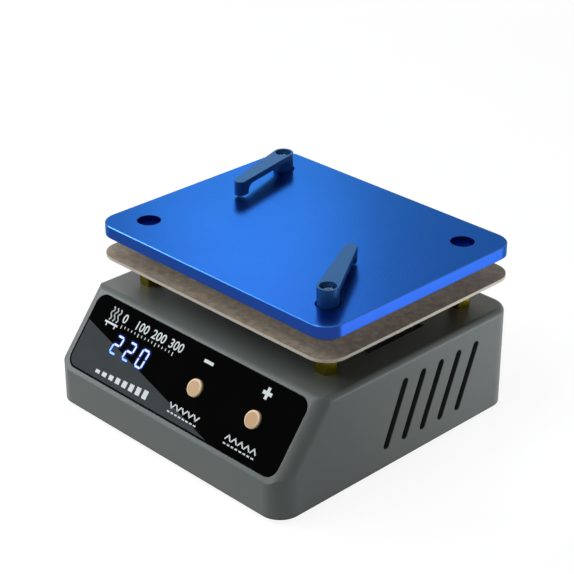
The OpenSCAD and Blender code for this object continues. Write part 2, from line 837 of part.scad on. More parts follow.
module power_board() {
    color("#2a7a4b") translate([0, pcb_y, pcb_z]) difference() {
        linear_extrude(pcb_t) rounded_rect(pcb_w, pcb_d, pcb_corner_r);
        for (x = [-1, 1], y = [-1, 1]) translate([x * pcb_hole_x, y * pcb_hole_y, -over])
            cylinder(d = pcb_screw_d + 2 * bolt_gap, h = pcb_t + 2 * over);
    }
}

module power_board_screws() {
    color("#a5a8ab") translate([0, pcb_y, pcb_top]) for (x = [-1, 1], y = [-1, 1])
        translate([x * pcb_hole_x, y * pcb_hole_y, 0]) pan_screw(pcb_screw_d, pcb_screw_l, pcb_head_d, pcb_head_h);
}

// Transformer at the middle of the power board: a core with two windows and a coil on its middle leg
core_w = 17;
core_h = 13.5;
core_d = 8;
core_leg = 4.5;
core_rail = 2.6;
core_x = -5.5;
core_y = 4;
coil_gap = 0.1;
coil_out = 2.5;
coil_r = 1.5;
module transformer_core() {
    window_w = (core_w - core_leg - 2 * core_rail) / 2;
    color("#3c3936") translate([core_x, pcb_y + core_y, pcb_top]) along(core_d) difference() {
        translate([-core_w / 2, 0]) square([core_w, core_h]);
        for (x = [-1, 1]) translate([x * (core_leg + window_w) / 2 - window_w / 2, core_rail])
            square([window_w, core_h - 2 * core_rail]);
    }
}

module transformer_winding() {
    h = core_h - 2 * core_rail - 2 * coil_gap;
    color("#d8a23a") translate([core_x, pcb_y + core_y, pcb_top + core_rail + coil_gap])
        linear_extrude(h) difference() {
            rounded_rect(core_w - 2 * core_rail - 2 * coil_gap, core_d + 2 * coil_out, coil_r);
            square([core_leg + 2 * coil_gap, core_d + 2 * coil_gap], center = true);
        }
}

// Capacitors on both sides of the transformer, each with a groove near its foot and a sunk lid
cap_gap = 3.5;
cap_edge_r = 0.6;
cap_groove_r = 0.7;
cap_groove_z = 1.4;
cap_lid_in = 0.9;
cap_lid_t = 0.2;
big_cap_d = 8;
big_cap_h = 12;
small_cap_d = 6.3;
small_cap_h = 11;
module capacitor(d, h) {
    rotate_extrude() difference() {
        square([d / 2, h]);
        corner_trim([d / 2, h], 180, 270, cap_edge_r);
        translate([d / 2 + cap_groove_r / 2, cap_groove_z]) circle(cap_groove_r);
        translate([0, h - cap_lid_t]) square([d / 2 - cap_lid_in, cap_lid_t + over]);
    }
}

module capacitors() {
    color("#22344f") translate([core_x, pcb_y + core_y, pcb_top]) {
        translate([core_w / 2 + cap_gap + big_cap_d / 2, big_cap_d / 2, 0]) capacitor(big_cap_d, big_cap_h);
        translate([-core_w / 2 - cap_gap - small_cap_d / 2, -small_cap_d, 0]) capacitor(small_cap_d, small_cap_h);
    }
}

// Heat sink with upright fins, and the triac bolted flat on its plain side
sink_w = 20;
sink_h = 14;
sink_base = 2;
sink_fin = 1;
sink_reach = 7;
sink_hole_d = 3.2;
sink_hole_in = 3;
sink_fins = 6;
sink_x = 12;
sink_y = -8.5;
module heat_sink() {
    color("#a9adb1") translate([sink_x, pcb_y + sink_y, pcb_top]) difference() {
        union() {
            translate([-sink_w / 2, 0, 0]) cube([sink_w, sink_base, sink_h]);
            for (i = [0 : sink_fins - 1])
                translate([-sink_w / 2 + i * (sink_w - sink_fin) / (sink_fins - 1), sink_base / 2, 0])
                    cube([sink_fin, sink_reach, sink_h]);
        }
        translate([0, -over, sink_h - sink_hole_in]) rotate([-90, 0, 0])
            cylinder(d = sink_hole_d, h = sink_base + 2 * over);
    }
}

triac_w = 10;
triac_up = 2.2;
triac_h = 6.4;
triac_t = 4.4;
triac_tab_t = 1.2;
triac_leg_w = 0.8;
triac_leg_t = 0.5;
triac_leg_pitch = 2.54;
triac_leg_in = 3.1;
module triac() {
    color("#2a2b2d") translate([sink_x, pcb_y + sink_y, pcb_top]) {
        difference() {
            translate([-triac_w / 2, -triac_tab_t, triac_up]) cube([triac_w, triac_tab_t, sink_h - triac_up]);
            translate([0, -triac_tab_t - over, sink_h - sink_hole_in]) rotate([-90, 0, 0])
                cylinder(d = sink_hole_d, h = triac_tab_t + 2 * over);
        }
        translate([-triac_w / 2, -triac_t, triac_up]) cube([triac_w, triac_t - triac_tab_t / 2, triac_h]);
        for (i = [-1 : 1]) translate([i * triac_leg_pitch - triac_leg_w / 2, -triac_leg_in, 0])
            cube([triac_leg_w, triac_leg_t, triac_up + face_gap]);
    }
}

// Glass fuse along the back of the power board, between two spring clips
fuse_d = 5;
fuse_l = 20;
fuse_x = -5;
fuse_y = 13.4;
fuse_up = 4.2;
fuse_cap_l = 5;
fuse_glass_in = 0.2;
clip_t = 0.4;
clip_w = 4;
clip_gap = 0.02;
module fuse_tube() {
    color("#cfd6d8") translate([fuse_x, pcb_y + fuse_y, pcb_top + fuse_up]) rotate([0, 90, 0]) {
        cylinder(d = fuse_d - 2 * fuse_glass_in, h = fuse_l - fuse_cap_l, center = true);
        for (s = [-1, 1]) translate([0, 0, s * (fuse_l - fuse_cap_l) / 2])
            cylinder(d = fuse_d, h = fuse_cap_l, center = true);
    }
}

module fuse_clips() {
    r = fuse_d / 2;
    color("#c9a24a") for (s = [-1, 1])
        translate([fuse_x + s * (fuse_l - fuse_cap_l) / 2, pcb_y + fuse_y, pcb_top]) across(clip_w) difference() {
            union() {
                translate([-r - clip_t, 0]) square([2 * (r + clip_t), fuse_up + r / 2]);
                translate([0, fuse_up]) circle(r + clip_t);
            }
            translate([0, fuse_up]) circle(r + clip_gap);
            translate([clip_t - r, fuse_up]) square([2 * (r - clip_t), 2 * r]);
            translate([-r, clip_t]) square([2 * r, fuse_up - clip_t]);
        }
}

module terminal_block() {
    color("#2f7f54") translate([-leads_x, plates_y, pcb_top]) difference() {
        translate([-block_w / 2, -block_d / 2, 0]) cube([block_w, block_d, block_h]);
        for (y = [-1, 1]) {
            translate([0, y * lead_gap_y, block_h - block_bore]) cylinder(d = lead_d + bolt_gap, h = block_bore + over);
            translate([-block_w / 2 - over, y * block_d / 4, block_screw_z]) rotate([0, 90, 0])
                cylinder(d = block_screw_d, h = block_w / 3 + over);
        }
    }
}

module sensor_connector() {
    color("#e8e4d8") translate([leads_x, plates_y, pcb_top]) difference() {
        translate([-connector_w / 2, -connector_d / 2, 0]) cube([connector_w, connector_d, connector_h]);
        for (x = [-1, 1]) translate([x * sensor_lead_gap, 0, connector_h - connector_bore])
            cylinder(d = sensor_lead_d + bolt_gap, h = connector_bore + over);
    }
}

// Appliance inlet: a flanged moulding with a pocket for a two-pole plug
module power_inlet() {
    color("#1b1c1d") translate([-inlet_x, back_y, rear_z]) difference() {
        union() {
            translate([0, inlet_flange_t / 2, 0]) along(inlet_flange_t)
                rounded_rect(inlet_flange_w, inlet_flange_h, inlet_flange_r);
            translate([0, -inlet_body_d / 2 + face_gap, 0]) along(inlet_body_d + 2 * face_gap)
                rounded_rect(inlet_body_w, inlet_body_h, inlet_body_r);
        }
        translate([0, inlet_flange_t - inlet_pocket_d / 2 + over / 2, 0]) along(inlet_pocket_d + over)
            round_slot(inlet_pocket_w, inlet_pocket_h);
        for (x = [-1, 1]) translate([x * pin_gap_x / 2, -inlet_body_d - over, 0]) rotate([-90, 0, 0])
            cylinder(d = pin_d, h = inlet_body_d - inlet_pocket_d + inlet_flange_t + 2 * over);
    }
}

module inlet_pins() {
    pin_start = inlet_flange_t - inlet_pocket_d;
    color("#b9bcbf") for (x = [-1, 1]) translate([-inlet_x + x * pin_gap_x / 2, back_y, rear_z]) {
        translate([0, -inlet_body_d - pin_d / 2, 0]) rotate([-90, 0, 0])
            cylinder(d = pin_d, h = pin_start + pin_l + inlet_body_d);
        translate([0, pin_start + pin_l - pin_d / 2, 0]) sphere(d = pin_d);
        translate([-tab_t / 2, -inlet_body_d - tab_l, -tab_w / 2]) cube([tab_t, tab_l - face_gap, tab_w]);
    }
}

module switch_frame() {
    pin_hole = rocker_pin_d + 2 * rocker_pin_gap;
    color("#1d1e1f") translate([switch_x, back_y, rear_z]) difference() {
        union() {
            translate([0, switch_bezel_t / 2, 0]) along(switch_bezel_t)
                rounded_rect(switch_bezel_w, switch_bezel_h, switch_bezel_r);
            translate([0, -switch_body_d / 2 + face_gap, 0]) along(switch_body_d + 2 * face_gap)
                square([switch_body_w, switch_body_h], center = true);
        }
        translate([0, (switch_bezel_t + over - switch_well) / 2, 0]) along(switch_well + switch_bezel_t + over)
            square([switch_window_w, switch_window_h], center = true);
        translate([0, -pivot_in, 0]) cylinder(d = pin_hole, h = switch_pin_l + 2 * rocker_pin_room, center = true);
    }
}

// Rocker with a dished face; at rest its left end, seen from behind, stands out
module switch_rocker() {
    x = rocker_l / 2;
    color("#26282a") translate([switch_x, back_y - pivot_in, rear_z]) rotate(rocker_tilt) {
        translate([0, 0, -rocker_w / 2]) linear_extrude(rocker_w) difference() {
            polygon([[-x, -rocker_drop], [-x, rocker_rise], [x, rocker_rise], [x, -rocker_drop], [0, -rocker_belly]]);
            translate([0, rocker_rise + rocker_dish_r - rocker_dish]) circle(rocker_dish_r, $fn = 128);
        }
        cylinder(d = rocker_pin_d, h = switch_pin_l, center = true);
    }
}

module switch_terminals() {
    color("#c2a35a") for (x = [-1, 1])
        translate([switch_x + x * switch_tab_x - tab_t / 2, back_y - switch_body_d - tab_l, rear_z - tab_w / 2])
            cube([tab_t, tab_l, tab_w]);
}

// Wires from the inlet to the switch, from the switch to the board and from the inlet to the board
mains_d = 1.5;
mains_pad_in = 4.5;
mains_pad_out = 4.2;
mains_straight = 1.2;
mains_bow = 3;
module mains_leads() {
    inlet_back = back_y - inlet_body_d - tab_l;
    switch_back = back_y - switch_body_d - tab_l;
    near = pin_gap_x / 2 - inlet_x;
    far = -pin_gap_x / 2 - inlet_x;
    pad_y = pcb_y + pcb_d / 2 - mains_pad_in;
    left_pad = [far - mains_pad_out, pad_y, pcb_top];
    right_pad = [switch_x + switch_tab_x, pad_y, pcb_top];
    up = [0, 0, mains_straight];
    to_switch = [
        [near + tab_t + face_gap, inlet_back, rear_z],
        [near + mains_bow, inlet_back - tab_t, rear_z + mains_d],
        [(near + switch_x) / 2, inlet_back + mains_bow, rear_z + mains_bow],
        [switch_x - 2 * switch_tab_x, switch_back - mains_bow, rear_z + mains_d],
        [switch_x - switch_tab_x, switch_back - mains_d / 2, rear_z]
    ];
    from_switch = [
        [switch_x + switch_tab_x, switch_back - mains_d / 2, rear_z],
        [switch_x + switch_tab_x, switch_back - mains_bow, rear_z - tab_t],
        right_pad + 2 * up, right_pad + up, right_pad
    ];
    to_board = [
        [far - tab_t / 2, inlet_back - mains_d / 2, rear_z],
        [far - mains_bow, inlet_back - mains_bow, rear_z - tab_t],
        left_pad + 2 * up, left_pad + up, left_pad
    ];
    color("#7a2b23") {
        wire(smooth_path(to_switch, 5), mains_d, [0.1, 0.05, 1]);
        wire(smooth_path(from_switch, 5), mains_d, [1, 0.1, 0.05]);
        wire(smooth_path(to_board, 5), mains_d, [1, 0.1, 0.05]);
    }
}

module standoffs() {
    color("#b99a3c") at_corner_holes() translate([0, 0, top_z]) difference() {
        union() {
            rotate(standoff_turn) cylinder(d = standoff_af / cos(30), h = standoff_l, $fn = 6);
            cylinder(d = bolt_d, h = standoff_l + board_t + stud_reach);
        }
        translate([0, 0, -over]) cylinder(d = thread_d, h = bolt_reach + head_room + over);
    }
}

module standoff_screws() {
    color("#a5a8ab") at_corner_holes() translate([0, 0, ceiling_z - pad_h])
        mirror([0, 0, 1]) pan_screw(bolt_d, wall + pad_h + bolt_reach, bolt_head_d, bolt_head_h);
}

module insulation_board() {
    color("#857a6d") translate([0, plates_y, board_z]) linear_extrude(board_t) difference() {
        rounded_rect(board_w, board_d, board_r);
        for (x = [-1, 1], y = [-1, 1]) translate([x * hole_x, y * hole_y]) circle(d = hole_d);
        for (x = [-1, 1]) translate([x * leads_x, 0]) circle(d = grommet_hole_d);
    }
}

module spacers() {
    color("#b7b9ba") at_corner_holes() translate([0, 0, board_z + board_t]) difference() {
        cylinder(d = spacer_d, h = spacer_l);
        translate([0, 0, -over]) cylinder(d = thread_d, h = spacer_l + 2 * over);
    }
}

// Places of the blind holes under the heating plate: two for the strap, one for the sensor
strap_foot = 2.4;
strap_hole_y = heater_d / 2 + 1.5 * strap_foot;
small_d = 2;
small_head_d = 3.6;
small_head_h = 1.1;
blind_h = 2.2;
sensor_y = 12;
module at_blind_holes() {
    for (y = [-1, 1]) translate([0, plates_y + y * strap_hole_y, plate_z]) children();
    translate([leads_x, plates_y + sensor_y, plate_z]) children();
}

module heating_plate() {
    color("#2f6fe0") difference() {
        translate([0, plates_y, plate_z]) chamfered_plate(plate_w, plate_d, plate_t, plate_r, plate_chamfer);
        at_corner_holes() translate([0, 0, plate_z - over]) {
            cylinder(d = hole_d, h = plate_t + 2 * over);
            translate([0, 0, seat_z - plate_z + over]) cylinder(d = counterbore_d, h = counterbore_h + over);
        }
        at_blind_holes() translate([0, 0, -over]) cylinder(d = small_d + bolt_gap, h = blind_h + over);
    }
}

heater_r = 1.5;
module heating_element() {
    color("#e9e4d6") translate([0, plates_y, plate_z - heater_t]) linear_extrude(heater_t)
        rounded_rect(heater_w, heater_d, heater_r);
}

module element_strap() {
    y = heater_d / 2 + fit_gap;
    end = strap_hole_y + strap_foot;
    low = -heater_t - strap_t;
    color("#b3b6b8") translate([0, plates_y, plate_z]) difference() {
        across(strap_w) {
            translate([-y - strap_t, low]) square([2 * (y + strap_t), strap_t]);
            for (s = [-1, 1]) {
                translate([s * (y + strap_t / 2) - strap_t / 2, low]) square([strap_t, -low]);
                translate([s * (y + end) / 2 - (end - y) / 2, -strap_t]) square([end - y, strap_t]);
            }
        }
        for (s = [-1, 1]) translate([0, s * strap_hole_y, -strap_t - over])
            cylinder(d = small_d + 2 * bolt_gap, h = strap_t + 2 * over);
    }
}

module underplate_screws() {
    color("#8d9094") at_blind_holes() translate([0, 0, -strap_t])
        mirror([0, 0, 1]) pan_screw(small_d, strap_t + blind_h - 2 * fit_gap, small_head_d, small_head_h);
}

// Lead that leaves sideways, bends and goes straight down; x = 0 is its upright part
module bent_lead(d, side_l, bend_r, down_l) {
    rotate([0, 90, 0]) translate([0, 0, bend_r]) cylinder(d = d, h = side_l);
    translate([bend_r, 0, -bend_r]) rotate([90, 0, 0]) rotate_extrude(angle = 90, start = 90)
        translate([bend_r, 0]) circle(d = d);
    translate([0, 0, -bend_r - down_l]) cylinder(d = d, h = down_l);
}

module heater_leads() {
    z = plate_z - lead_d / 2 - face_gap;
    down = z - lead_bend_r - (pcb_top + block_h - block_bore + lead_end_gap);
    color("#d9d2c0") for (y = [-1, 1]) translate([-leads_x, plates_y + y * lead_gap_y, z])
        bent_lead(lead_d, leads_x - heater_w / 2 - lead_bend_r, lead_bend_r, down);
}

// Sensor: a ring lug under its screw and a barrel that points at the grommet
barrel_d = 2.4;
barrel_l = 6;
barrel_start = 3;
lug_d = 5;
module temperature_sensor() {
    color("#c9a24a") translate([leads_x, plates_y + sensor_y, plate_z]) {
        translate([0, 0, -strap_t]) difference() {
            union() {
                cylinder(d = lug_d, h = strap_t);
                translate([-barrel_d / 2, -barrel_start - strap_t, 0]) cube([barrel_d, barrel_start, strap_t]);
            }
            translate([0, 0, -over]) cylinder(d = small_d + 2 * bolt_gap, h = strap_t + 2 * over);
        }
        translate([0, -barrel_start, -barrel_d / 2]) rotate([90, 0, 0]) cylinder(d = barrel_d, h = barrel_l);
    }
}

module sensor_leads() {
    z = plate_z - barrel_d / 2;
    side = sensor_y - barrel_start - barrel_l;
    down = z - sensor_bend_r - (pcb_top + connector_h - connector_bore + lead_end_gap);
    color("#d8d8d4") for (s = [-1, 1]) translate([leads_x + s * sensor_lead_gap, plates_y, z])
        rotate(90) bent_lead(sensor_lead_d, side - sensor_bend_r, sensor_bend_r, down);
}

module grommets() {
    neck_d = grommet_hole_d - fit_gap;
    color("#2b2c2d") for (x = [-1, 1]) translate([x * leads_x, plates_y, ceiling_z]) difference() {
        union() {
            cylinder(d = neck_d, h = wall);
            translate([0, 0, wall]) cylinder(d = grommet_flange_d, h = grommet_flange_t);
            translate([0, 0, -grommet_flange_t]) cylinder(d = grommet_flange_d, h = grommet_flange_t);
        }
        translate([0, 0, -over]) cylinder(d = grommet_bore_d, h = wall + 2 * over);
    }
}

// Outline of an arm's bar from above: its straight sides start and end just inside the boss and the tip
side_in = 0.02;
module arm_outline() {
    a = acos((boss_r - tip_r) / arm_l);
    start = boss_r - side_in;
    finish = tip_r - side_in;
    polygon([
        start * [cos(a), -sin(a)], [arm_l, 0] + finish * [cos(a), -sin(a)],
        [arm_l, 0] + finish * [cos(a), sin(a)], start * [cos(a), sin(a)]
    ]);
    translate([arm_l, 0]) circle(tip_r);
}

// Side view of an arm's bar and foot: length to the right, height up from the boss's underside
module arm_side() {
    h = arm_z - boss_bottom;
    foot_h = work_z + foot_lift - boss_bottom;
    foot_x = arm_l - tip_r;
    translate([-boss_r - over, h - arm_bar]) square([boss_r + arm_l + tip_r + 2 * over, arm_bar]);
    translate([foot_x, foot_h]) square([2 * tip_r + over, h - foot_h]);
    translate([foot_x, h - arm_bar]) difference() {
        translate([-arch_r, -arch_r]) square([arch_r + tip_r / 2, arch_r + arm_bar / 2]);
        translate([-arch_r, -arch_r]) circle(arch_r);
    }
}

module clamp_arm(angle) {
    color("#35679c") translate([0, 0, boss_bottom]) rotate(angle) difference() {
        union() {
            intersection() {
                linear_extrude(arm_z - boss_bottom) arm_outline();
                along(3 * boss_r) arm_side();
            }
            cylinder(r = boss_r, h = arm_z - boss_bottom);
        }
        translate([0, 0, boss_floor - boss_bottom]) cylinder(r = boss_bore_r, h = arm_z);
        translate([0, 0, -over]) cylinder(d = bolt_d + 2 * shank_gap, h = arm_z);
    }
}

module clamp_washer() {
    color("#c9ccce") translate([0, 0, boss_floor + face_gap]) difference() {
        cylinder(r = washer_r, h = washer_t);
        translate([0, 0, -over]) cylinder(d = bolt_d + 3 * fit_gap, h = washer_t + 2 * over);
    }
}

module clamp_spring() {
    low = boss_floor + washer_t + 2 * face_gap + spring_wire / 2;
    high = clamp_head_z - face_gap - spring_wire / 2;
    steps = 14;
    count = steps * spring_turns;
    path = [for (i = [0 : count]) [
        spring_r * cos(i * 360 / steps), spring_r * sin(i * 360 / steps), low + (high - low) * i / count
    ]];
    color("#d4d7d9") wire(path, spring_wire, [0, 0, 1]);
}

module front_clamp() { translate([hole_x, plates_y - hole_y, 0]) children(); }
module rear_clamp() { translate([-hole_x, plates_y + hole_y, 0]) children(); }
module front_clamp_arm() { front_clamp() clamp_arm(front_arm_angle); }
module rear_clamp_arm() { rear_clamp() clamp_arm(rear_arm_angle); }
module front_clamp_washer() { front_clamp() clamp_washer(); }
module rear_clamp_washer() { rear_clamp() clamp_washer(); }
module front_clamp_spring() { front_clamp() clamp_spring(); }
module rear_clamp_spring() { rear_clamp() clamp_spring(); }

// Shoulder screws: a round head with a hexagonal socket, down into the spacers
module clamp_screws() {
    shank_bottom = board_z + board_t + stud_reach + 2 * fit_gap;
    color("#c4c7ca") at_clamp_holes() difference() {
        union() {
            translate([0, 0, clamp_head_z]) rotate_extrude() difference() {
                square([washer_r, clamp_head_t]);
                corner_trim([washer_r, clamp_head_t], 180, 270, clamp_head_r);
            }
            translate([0, 0, shank_bottom]) cylinder(d = bolt_d, h = clamp_head_z - shank_bottom + clamp_head_t / 4);
        }
        translate([0, 0, clamp_head_z + socket_floor]) cylinder(d = socket_d, h = clamp_head_t, $fn = 6);
    }
}

rubber_feet();
bottom_cover();
cover_screws();
housing();
control_panel();
control_board();
control_board_screws();
display_lens();
display_module();
display_digits();
driver_chip();
tact_switches();
button_minus();
button_plus();
plunger_minus();
plunger_plus();
ribbon_cable();
power_board();
power_board_screws();
transformer_core();
transformer_winding();
capacitors();
triac();
heat_sink();
fuse_tube();
fuse_clips();
terminal_block();
sensor_connector();
power_inlet();
inlet_pins();
switch_frame();
switch_rocker();
switch_terminals();
mains_leads();
standoffs();
standoff_screws();
insulation_board();
spacers();
heating_plate();
heating_element();
element_strap();
underplate_screws();
heater_leads();
temperature_sensor();
sensor_leads();
grommets();
front_clamp_arm();
rear_clamp_arm();
front_clamp_washer();
rear_clamp_washer();
clamp_screws();
front_clamp_spring();
rear_clamp_spring();
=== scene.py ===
import json
import math

import bpy
from mathutils import Matrix, Vector


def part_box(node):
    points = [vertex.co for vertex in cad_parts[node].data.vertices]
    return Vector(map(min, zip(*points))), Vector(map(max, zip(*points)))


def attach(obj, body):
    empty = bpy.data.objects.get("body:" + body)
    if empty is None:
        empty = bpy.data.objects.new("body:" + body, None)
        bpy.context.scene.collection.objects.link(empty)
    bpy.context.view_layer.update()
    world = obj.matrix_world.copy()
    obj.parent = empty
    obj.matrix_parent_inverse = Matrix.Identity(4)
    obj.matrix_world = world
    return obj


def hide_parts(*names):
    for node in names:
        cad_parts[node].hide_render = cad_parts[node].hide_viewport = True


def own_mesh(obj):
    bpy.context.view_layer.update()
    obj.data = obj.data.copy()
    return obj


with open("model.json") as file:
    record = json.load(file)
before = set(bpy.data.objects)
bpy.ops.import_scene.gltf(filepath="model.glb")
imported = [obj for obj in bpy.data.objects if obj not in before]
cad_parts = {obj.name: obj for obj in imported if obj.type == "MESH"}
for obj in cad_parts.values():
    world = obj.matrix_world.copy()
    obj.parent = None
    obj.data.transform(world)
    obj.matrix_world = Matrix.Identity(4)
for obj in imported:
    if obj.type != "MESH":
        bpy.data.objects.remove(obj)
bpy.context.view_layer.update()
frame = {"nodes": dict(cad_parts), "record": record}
print("frame loaded:", len(frame["nodes"]), "nodes")

mm = 0.001

# The sloped control panel in the part's frame, in metres and degrees
panel = {
    "frontY": -0.0412753,
    "cornerZ": 0.0101,
    "angle": 52.0,
    "halfWidth": 0.0371,
    "low": 0.0015,
    "cornerRadius": 0.003,
    "wedgeLift": 0.01 * mm,
    "inkLift": 0.03 * mm,
}


def addNode(tree, kind, inputs=None, **settings):
    # A new node, with its settings made and its inputs linked or set
    node = tree.nodes.new(kind)
    for key, value in settings.items():
        setattr(node, key, value)
    for key, value in (inputs or {}).items():
        if isinstance(value, bpy.types.NodeSocket):
            tree.links.new(value, node.inputs[key])
        else:
            node.inputs[key].default_value = value
    return node


def rgba(color):
    # A plain color gets its alpha, a socket stays as it is
    return color if isinstance(color, bpy.types.NodeSocket) else (*color, 1.0)


def scaled(color, k):
    return tuple(min(1.0, c * k) for c in color)


class Net:
    # Nodes of one material, linked by short calls
    def __init__(self, name):
        self.mat = bpy.data.materials.new(name)
        self.mat.use_nodes = True
        self.tree = self.mat.node_tree
        self.tree.nodes.clear()
        self.out = self.add("OutputMaterial")
        self.coord = self.add("TexCoord").outputs["Object"]

    def add(self, kind, inputs=None, **settings):
        return addNode(self.tree, "ShaderNode" + kind, inputs, **settings)

    def noise(self, scale, detail=2.0, rough=0.5, vector=None):
        inputs = {"Vector": vector or self.coord, "Scale": scale, "Detail": detail, "Roughness": rough}
        return self.add("TexNoise", inputs).outputs[0]

    def wave(self, scale, distortion, way):
        inputs = {"Vector": self.coord, "Scale": scale, "Distortion": distortion}
        return self.add("TexWave", inputs, bands_direction=way).outputs[1]

    def cells(self, scale):
        return self.add("TexVoronoi", {"Vector": self.coord, "Scale": scale}).outputs["Distance"]

    def ramp(self, value, low, high, lowTo=0.0, highTo=1.0):
        return self.add("MapRange", {0: value, 1: low, 2: high, 3: lowTo, 4: highTo}).outputs[0]

    def mix(self, factor, a, b, blend="MIX"):
        inputs = {0: factor, 6: rgba(a), 7: rgba(b)}
        return self.add("Mix", inputs, data_type="RGBA", blend_type=blend).outputs[2]

    def varied(self, noise, color, darkest, lightest):
        # The color, from darkest to lightest times itself over the middle of a noise
        return self.mix(self.ramp(noise, 0.3, 0.7), scaled(color, darkest), scaled(color, lightest))

    def math(self, operation, a, b=0.0, c=0.0):
        return self.add("Math", {0: a, 1: b, 2: c}, operation=operation).outputs[0]

    def under(self, value, limit):
        return self.math("LESS_THAN", value, limit)

    def both(self, a, b):
        return self.math("MULTIPLY", a, b)

    def between(self, value, low, high):
        return self.both(self.math("GREATER_THAN", value, low), self.under(value, high))

    def normalZ(self):
        return self.add("SeparateXYZ", {0: self.add("NewGeometry").outputs["Normal"]}).outputs[2]

    def place(self, axis):
        return self.add("SeparateXYZ", {0: self.coord}).outputs[axis]

    def bump(self, height, depth, strength=1.0, edge=0.0):
        # Relief of a given depth; with an edge radius, corners catch light as if they were rounded
        inputs = {"Height": height, "Distance": depth, "Strength": strength}
        if edge:
            inputs["Normal"] = self.add("Bevel", {"Radius": edge}, samples=4).outputs[0]
        return self.add("Bump", inputs).outputs[0]

    def surface(self, color, rough, metal=0.0, normal=None, extra=None):
        inputs = {"Base Color": rgba(color), "Roughness": rough, "Metallic": metal, **(extra or {})}
        if normal is not None:
            inputs["Normal"] = normal
        return self.finish(self.add("BsdfPrincipled", inputs))

    def finish(self, shader):
        self.tree.links.new(shader.outputs[0], self.out.inputs[0])
        return self.mat


def plainMaterial(name, color, rough, grain=2500.0, depth=0.01 * mm, edge=0.12 * mm, tone=0.12, shine=0.5):
    # Moulded, coated or printed surface with a fine grain
    net = Net(name)
    broad = net.noise(180.0, 3.0)
    fine = net.noise(grain, 3.0, 0.6)
    tint = net.varied(broad, color, 1.0 - tone, 1.0 + tone)
    roughness = net.ramp(fine, 0.25, 0.75, rough - 0.05, rough + 0.06)
    relief = net.bump(fine, depth, edge=edge)
    return net.surface(tint, roughness, 0.0, relief, {"Specular IOR Level": shine})


# The housing's grain, and painted shade: darker inside its walls and slots, where shade falls, and a painted
# contact shadow along its lower edge
housingLook = {
    "gloss": 0.25,
    "cloudScale": 60.0,
    "patchScale": 900.0,
    "grainScale": 5200.0,
    "grainDepth": 0.012 * mm,
    "edge": 0.2 * mm,
    "sideIn": 0.0402,
    "sideTop": 0.0268,
    "topIn": 0.036,
    "topUnder": 0.0274,
    "front": -0.0105,
    "back": 0.03,
    "insideShade": 0.5,
    "lowEdge": 0.0012,
    "lowReach": 0.0005,
    "contactShadowTone": 0.45,
}


def housingMaterial(name, color, rough):
    look = housingLook
    net = Net(name)
    cloud = net.noise(look["cloudScale"], 4.0)
    patches = net.noise(look["patchScale"], 3.0, 0.55)
    grain = net.noise(look["grainScale"], 2.0, 0.6)
    x, y, z = net.math("ABSOLUTE", net.place(0)), net.place(1), net.place(2)
    # Painted shade on the walls inside the side and top slots
    side = net.both(net.under(x, look["sideIn"]), net.under(z, look["sideTop"]))
    top = net.both(net.under(x, look["topIn"]), net.under(z, look["topUnder"]))
    inside = net.both(net.between(y, look["front"], look["back"]), net.math("MAXIMUM", side, top))
    tint = net.mix(inside, net.varied(cloud, color, 0.96, 1.04), scaled(color, look["insideShade"]))
    # Painted contact shadow, darker towards the lower edge
    low = net.ramp(z, look["lowEdge"], look["lowEdge"] + look["lowReach"], 1.0, 0.0)
    tint = net.mix(low, tint, scaled(color, look["contactShadowTone"]))
    patchRough = net.ramp(patches, 0.3, 0.7, rough - 0.03, rough + 0.03)
    roughness = net.math("ADD", net.ramp(grain, 0.3, 0.7, -0.04, 0.04), patchRough)
    relief = net.bump(grain, look["grainDepth"], edge=look["edge"])
    return net.surface(tint, roughness, 0.0, relief, {"Specular IOR Level": look["gloss"]})


# Brown fibre board: clouds, stains, flecks and cells on its faces, thin layers along its cut edges
insulationLook = {
    "color": (0.235, 0.197, 0.148),
    "edgeColor": (0.56, 0.5, 0.42),
    "cloudScale": 430.0,
    "cloudDark": (0.6, 0.6, 0.61),
    "cloudLight": (1.34, 1.34, 1.31),
    "stainScale": 150.0,
    "stainShift": (0.3, 0.1, 0.0),
    "stainTone": (1.04, 0.9, 0.86),
    "fleckScale": 1400.0,
    "fleckTone": 1.7,
    "fleckShare": 0.45,
    "fleckDepth": 0.02 * mm,
    "cellScale": 420.0,
    "cellTone": 0.6,
    "cellShare": 0.25,
    "layerScale": 2600.0,
}


def insulationMaterial(name):
    look = insulationLook
    color, edgeColor = look["color"], look["edgeColor"]
    net = Net(name)
    cloud = net.noise(look["cloudScale"], 6.0, 0.68)
    shifted = net.add("Mapping", {"Vector": net.coord, "Location": look["stainShift"]}).outputs[0]
    stain = net.noise(look["stainScale"], 4.0, 0.6, shifted)
    fleck = net.noise(look["fleckScale"], 4.0, 0.6)
    layers = net.noise(look["layerScale"], 2.0)
    stained = tuple(c * k for c, k in zip(color, look["stainTone"]))
    tint = net.mix(net.ramp(stain, 0.4, 0.6), color, stained)
    clouded = net.mix(net.ramp(cloud, 0.36, 0.64), look["cloudDark"], look["cloudLight"])
    tint = net.mix(1.0, tint, clouded, "MULTIPLY")
    tint = net.mix(net.ramp(fleck, 0.45, 0.8, 0.0, look["fleckShare"]), tint, scaled(color, look["fleckTone"]))
    cells = net.ramp(net.cells(look["cellScale"]), 0.25, 0.6, 0.0, look["cellShare"])
    tint = net.mix(cells, tint, scaled(color, look["cellTone"]))
    rim = net.mix(net.ramp(layers, 0.35, 0.65), scaled(edgeColor, 0.86), scaled(edgeColor, 1.05))
    onFace = net.ramp(net.math("ABSOLUTE", net.normalZ()), 0.5, 0.6)
    roughness = net.ramp(fleck, 0.3, 0.7, 0.5, 0.7)
    return net.surface(net.mix(onFace, rim, tint), roughness, 0.0, net.bump(fleck, look["fleckDepth"]))


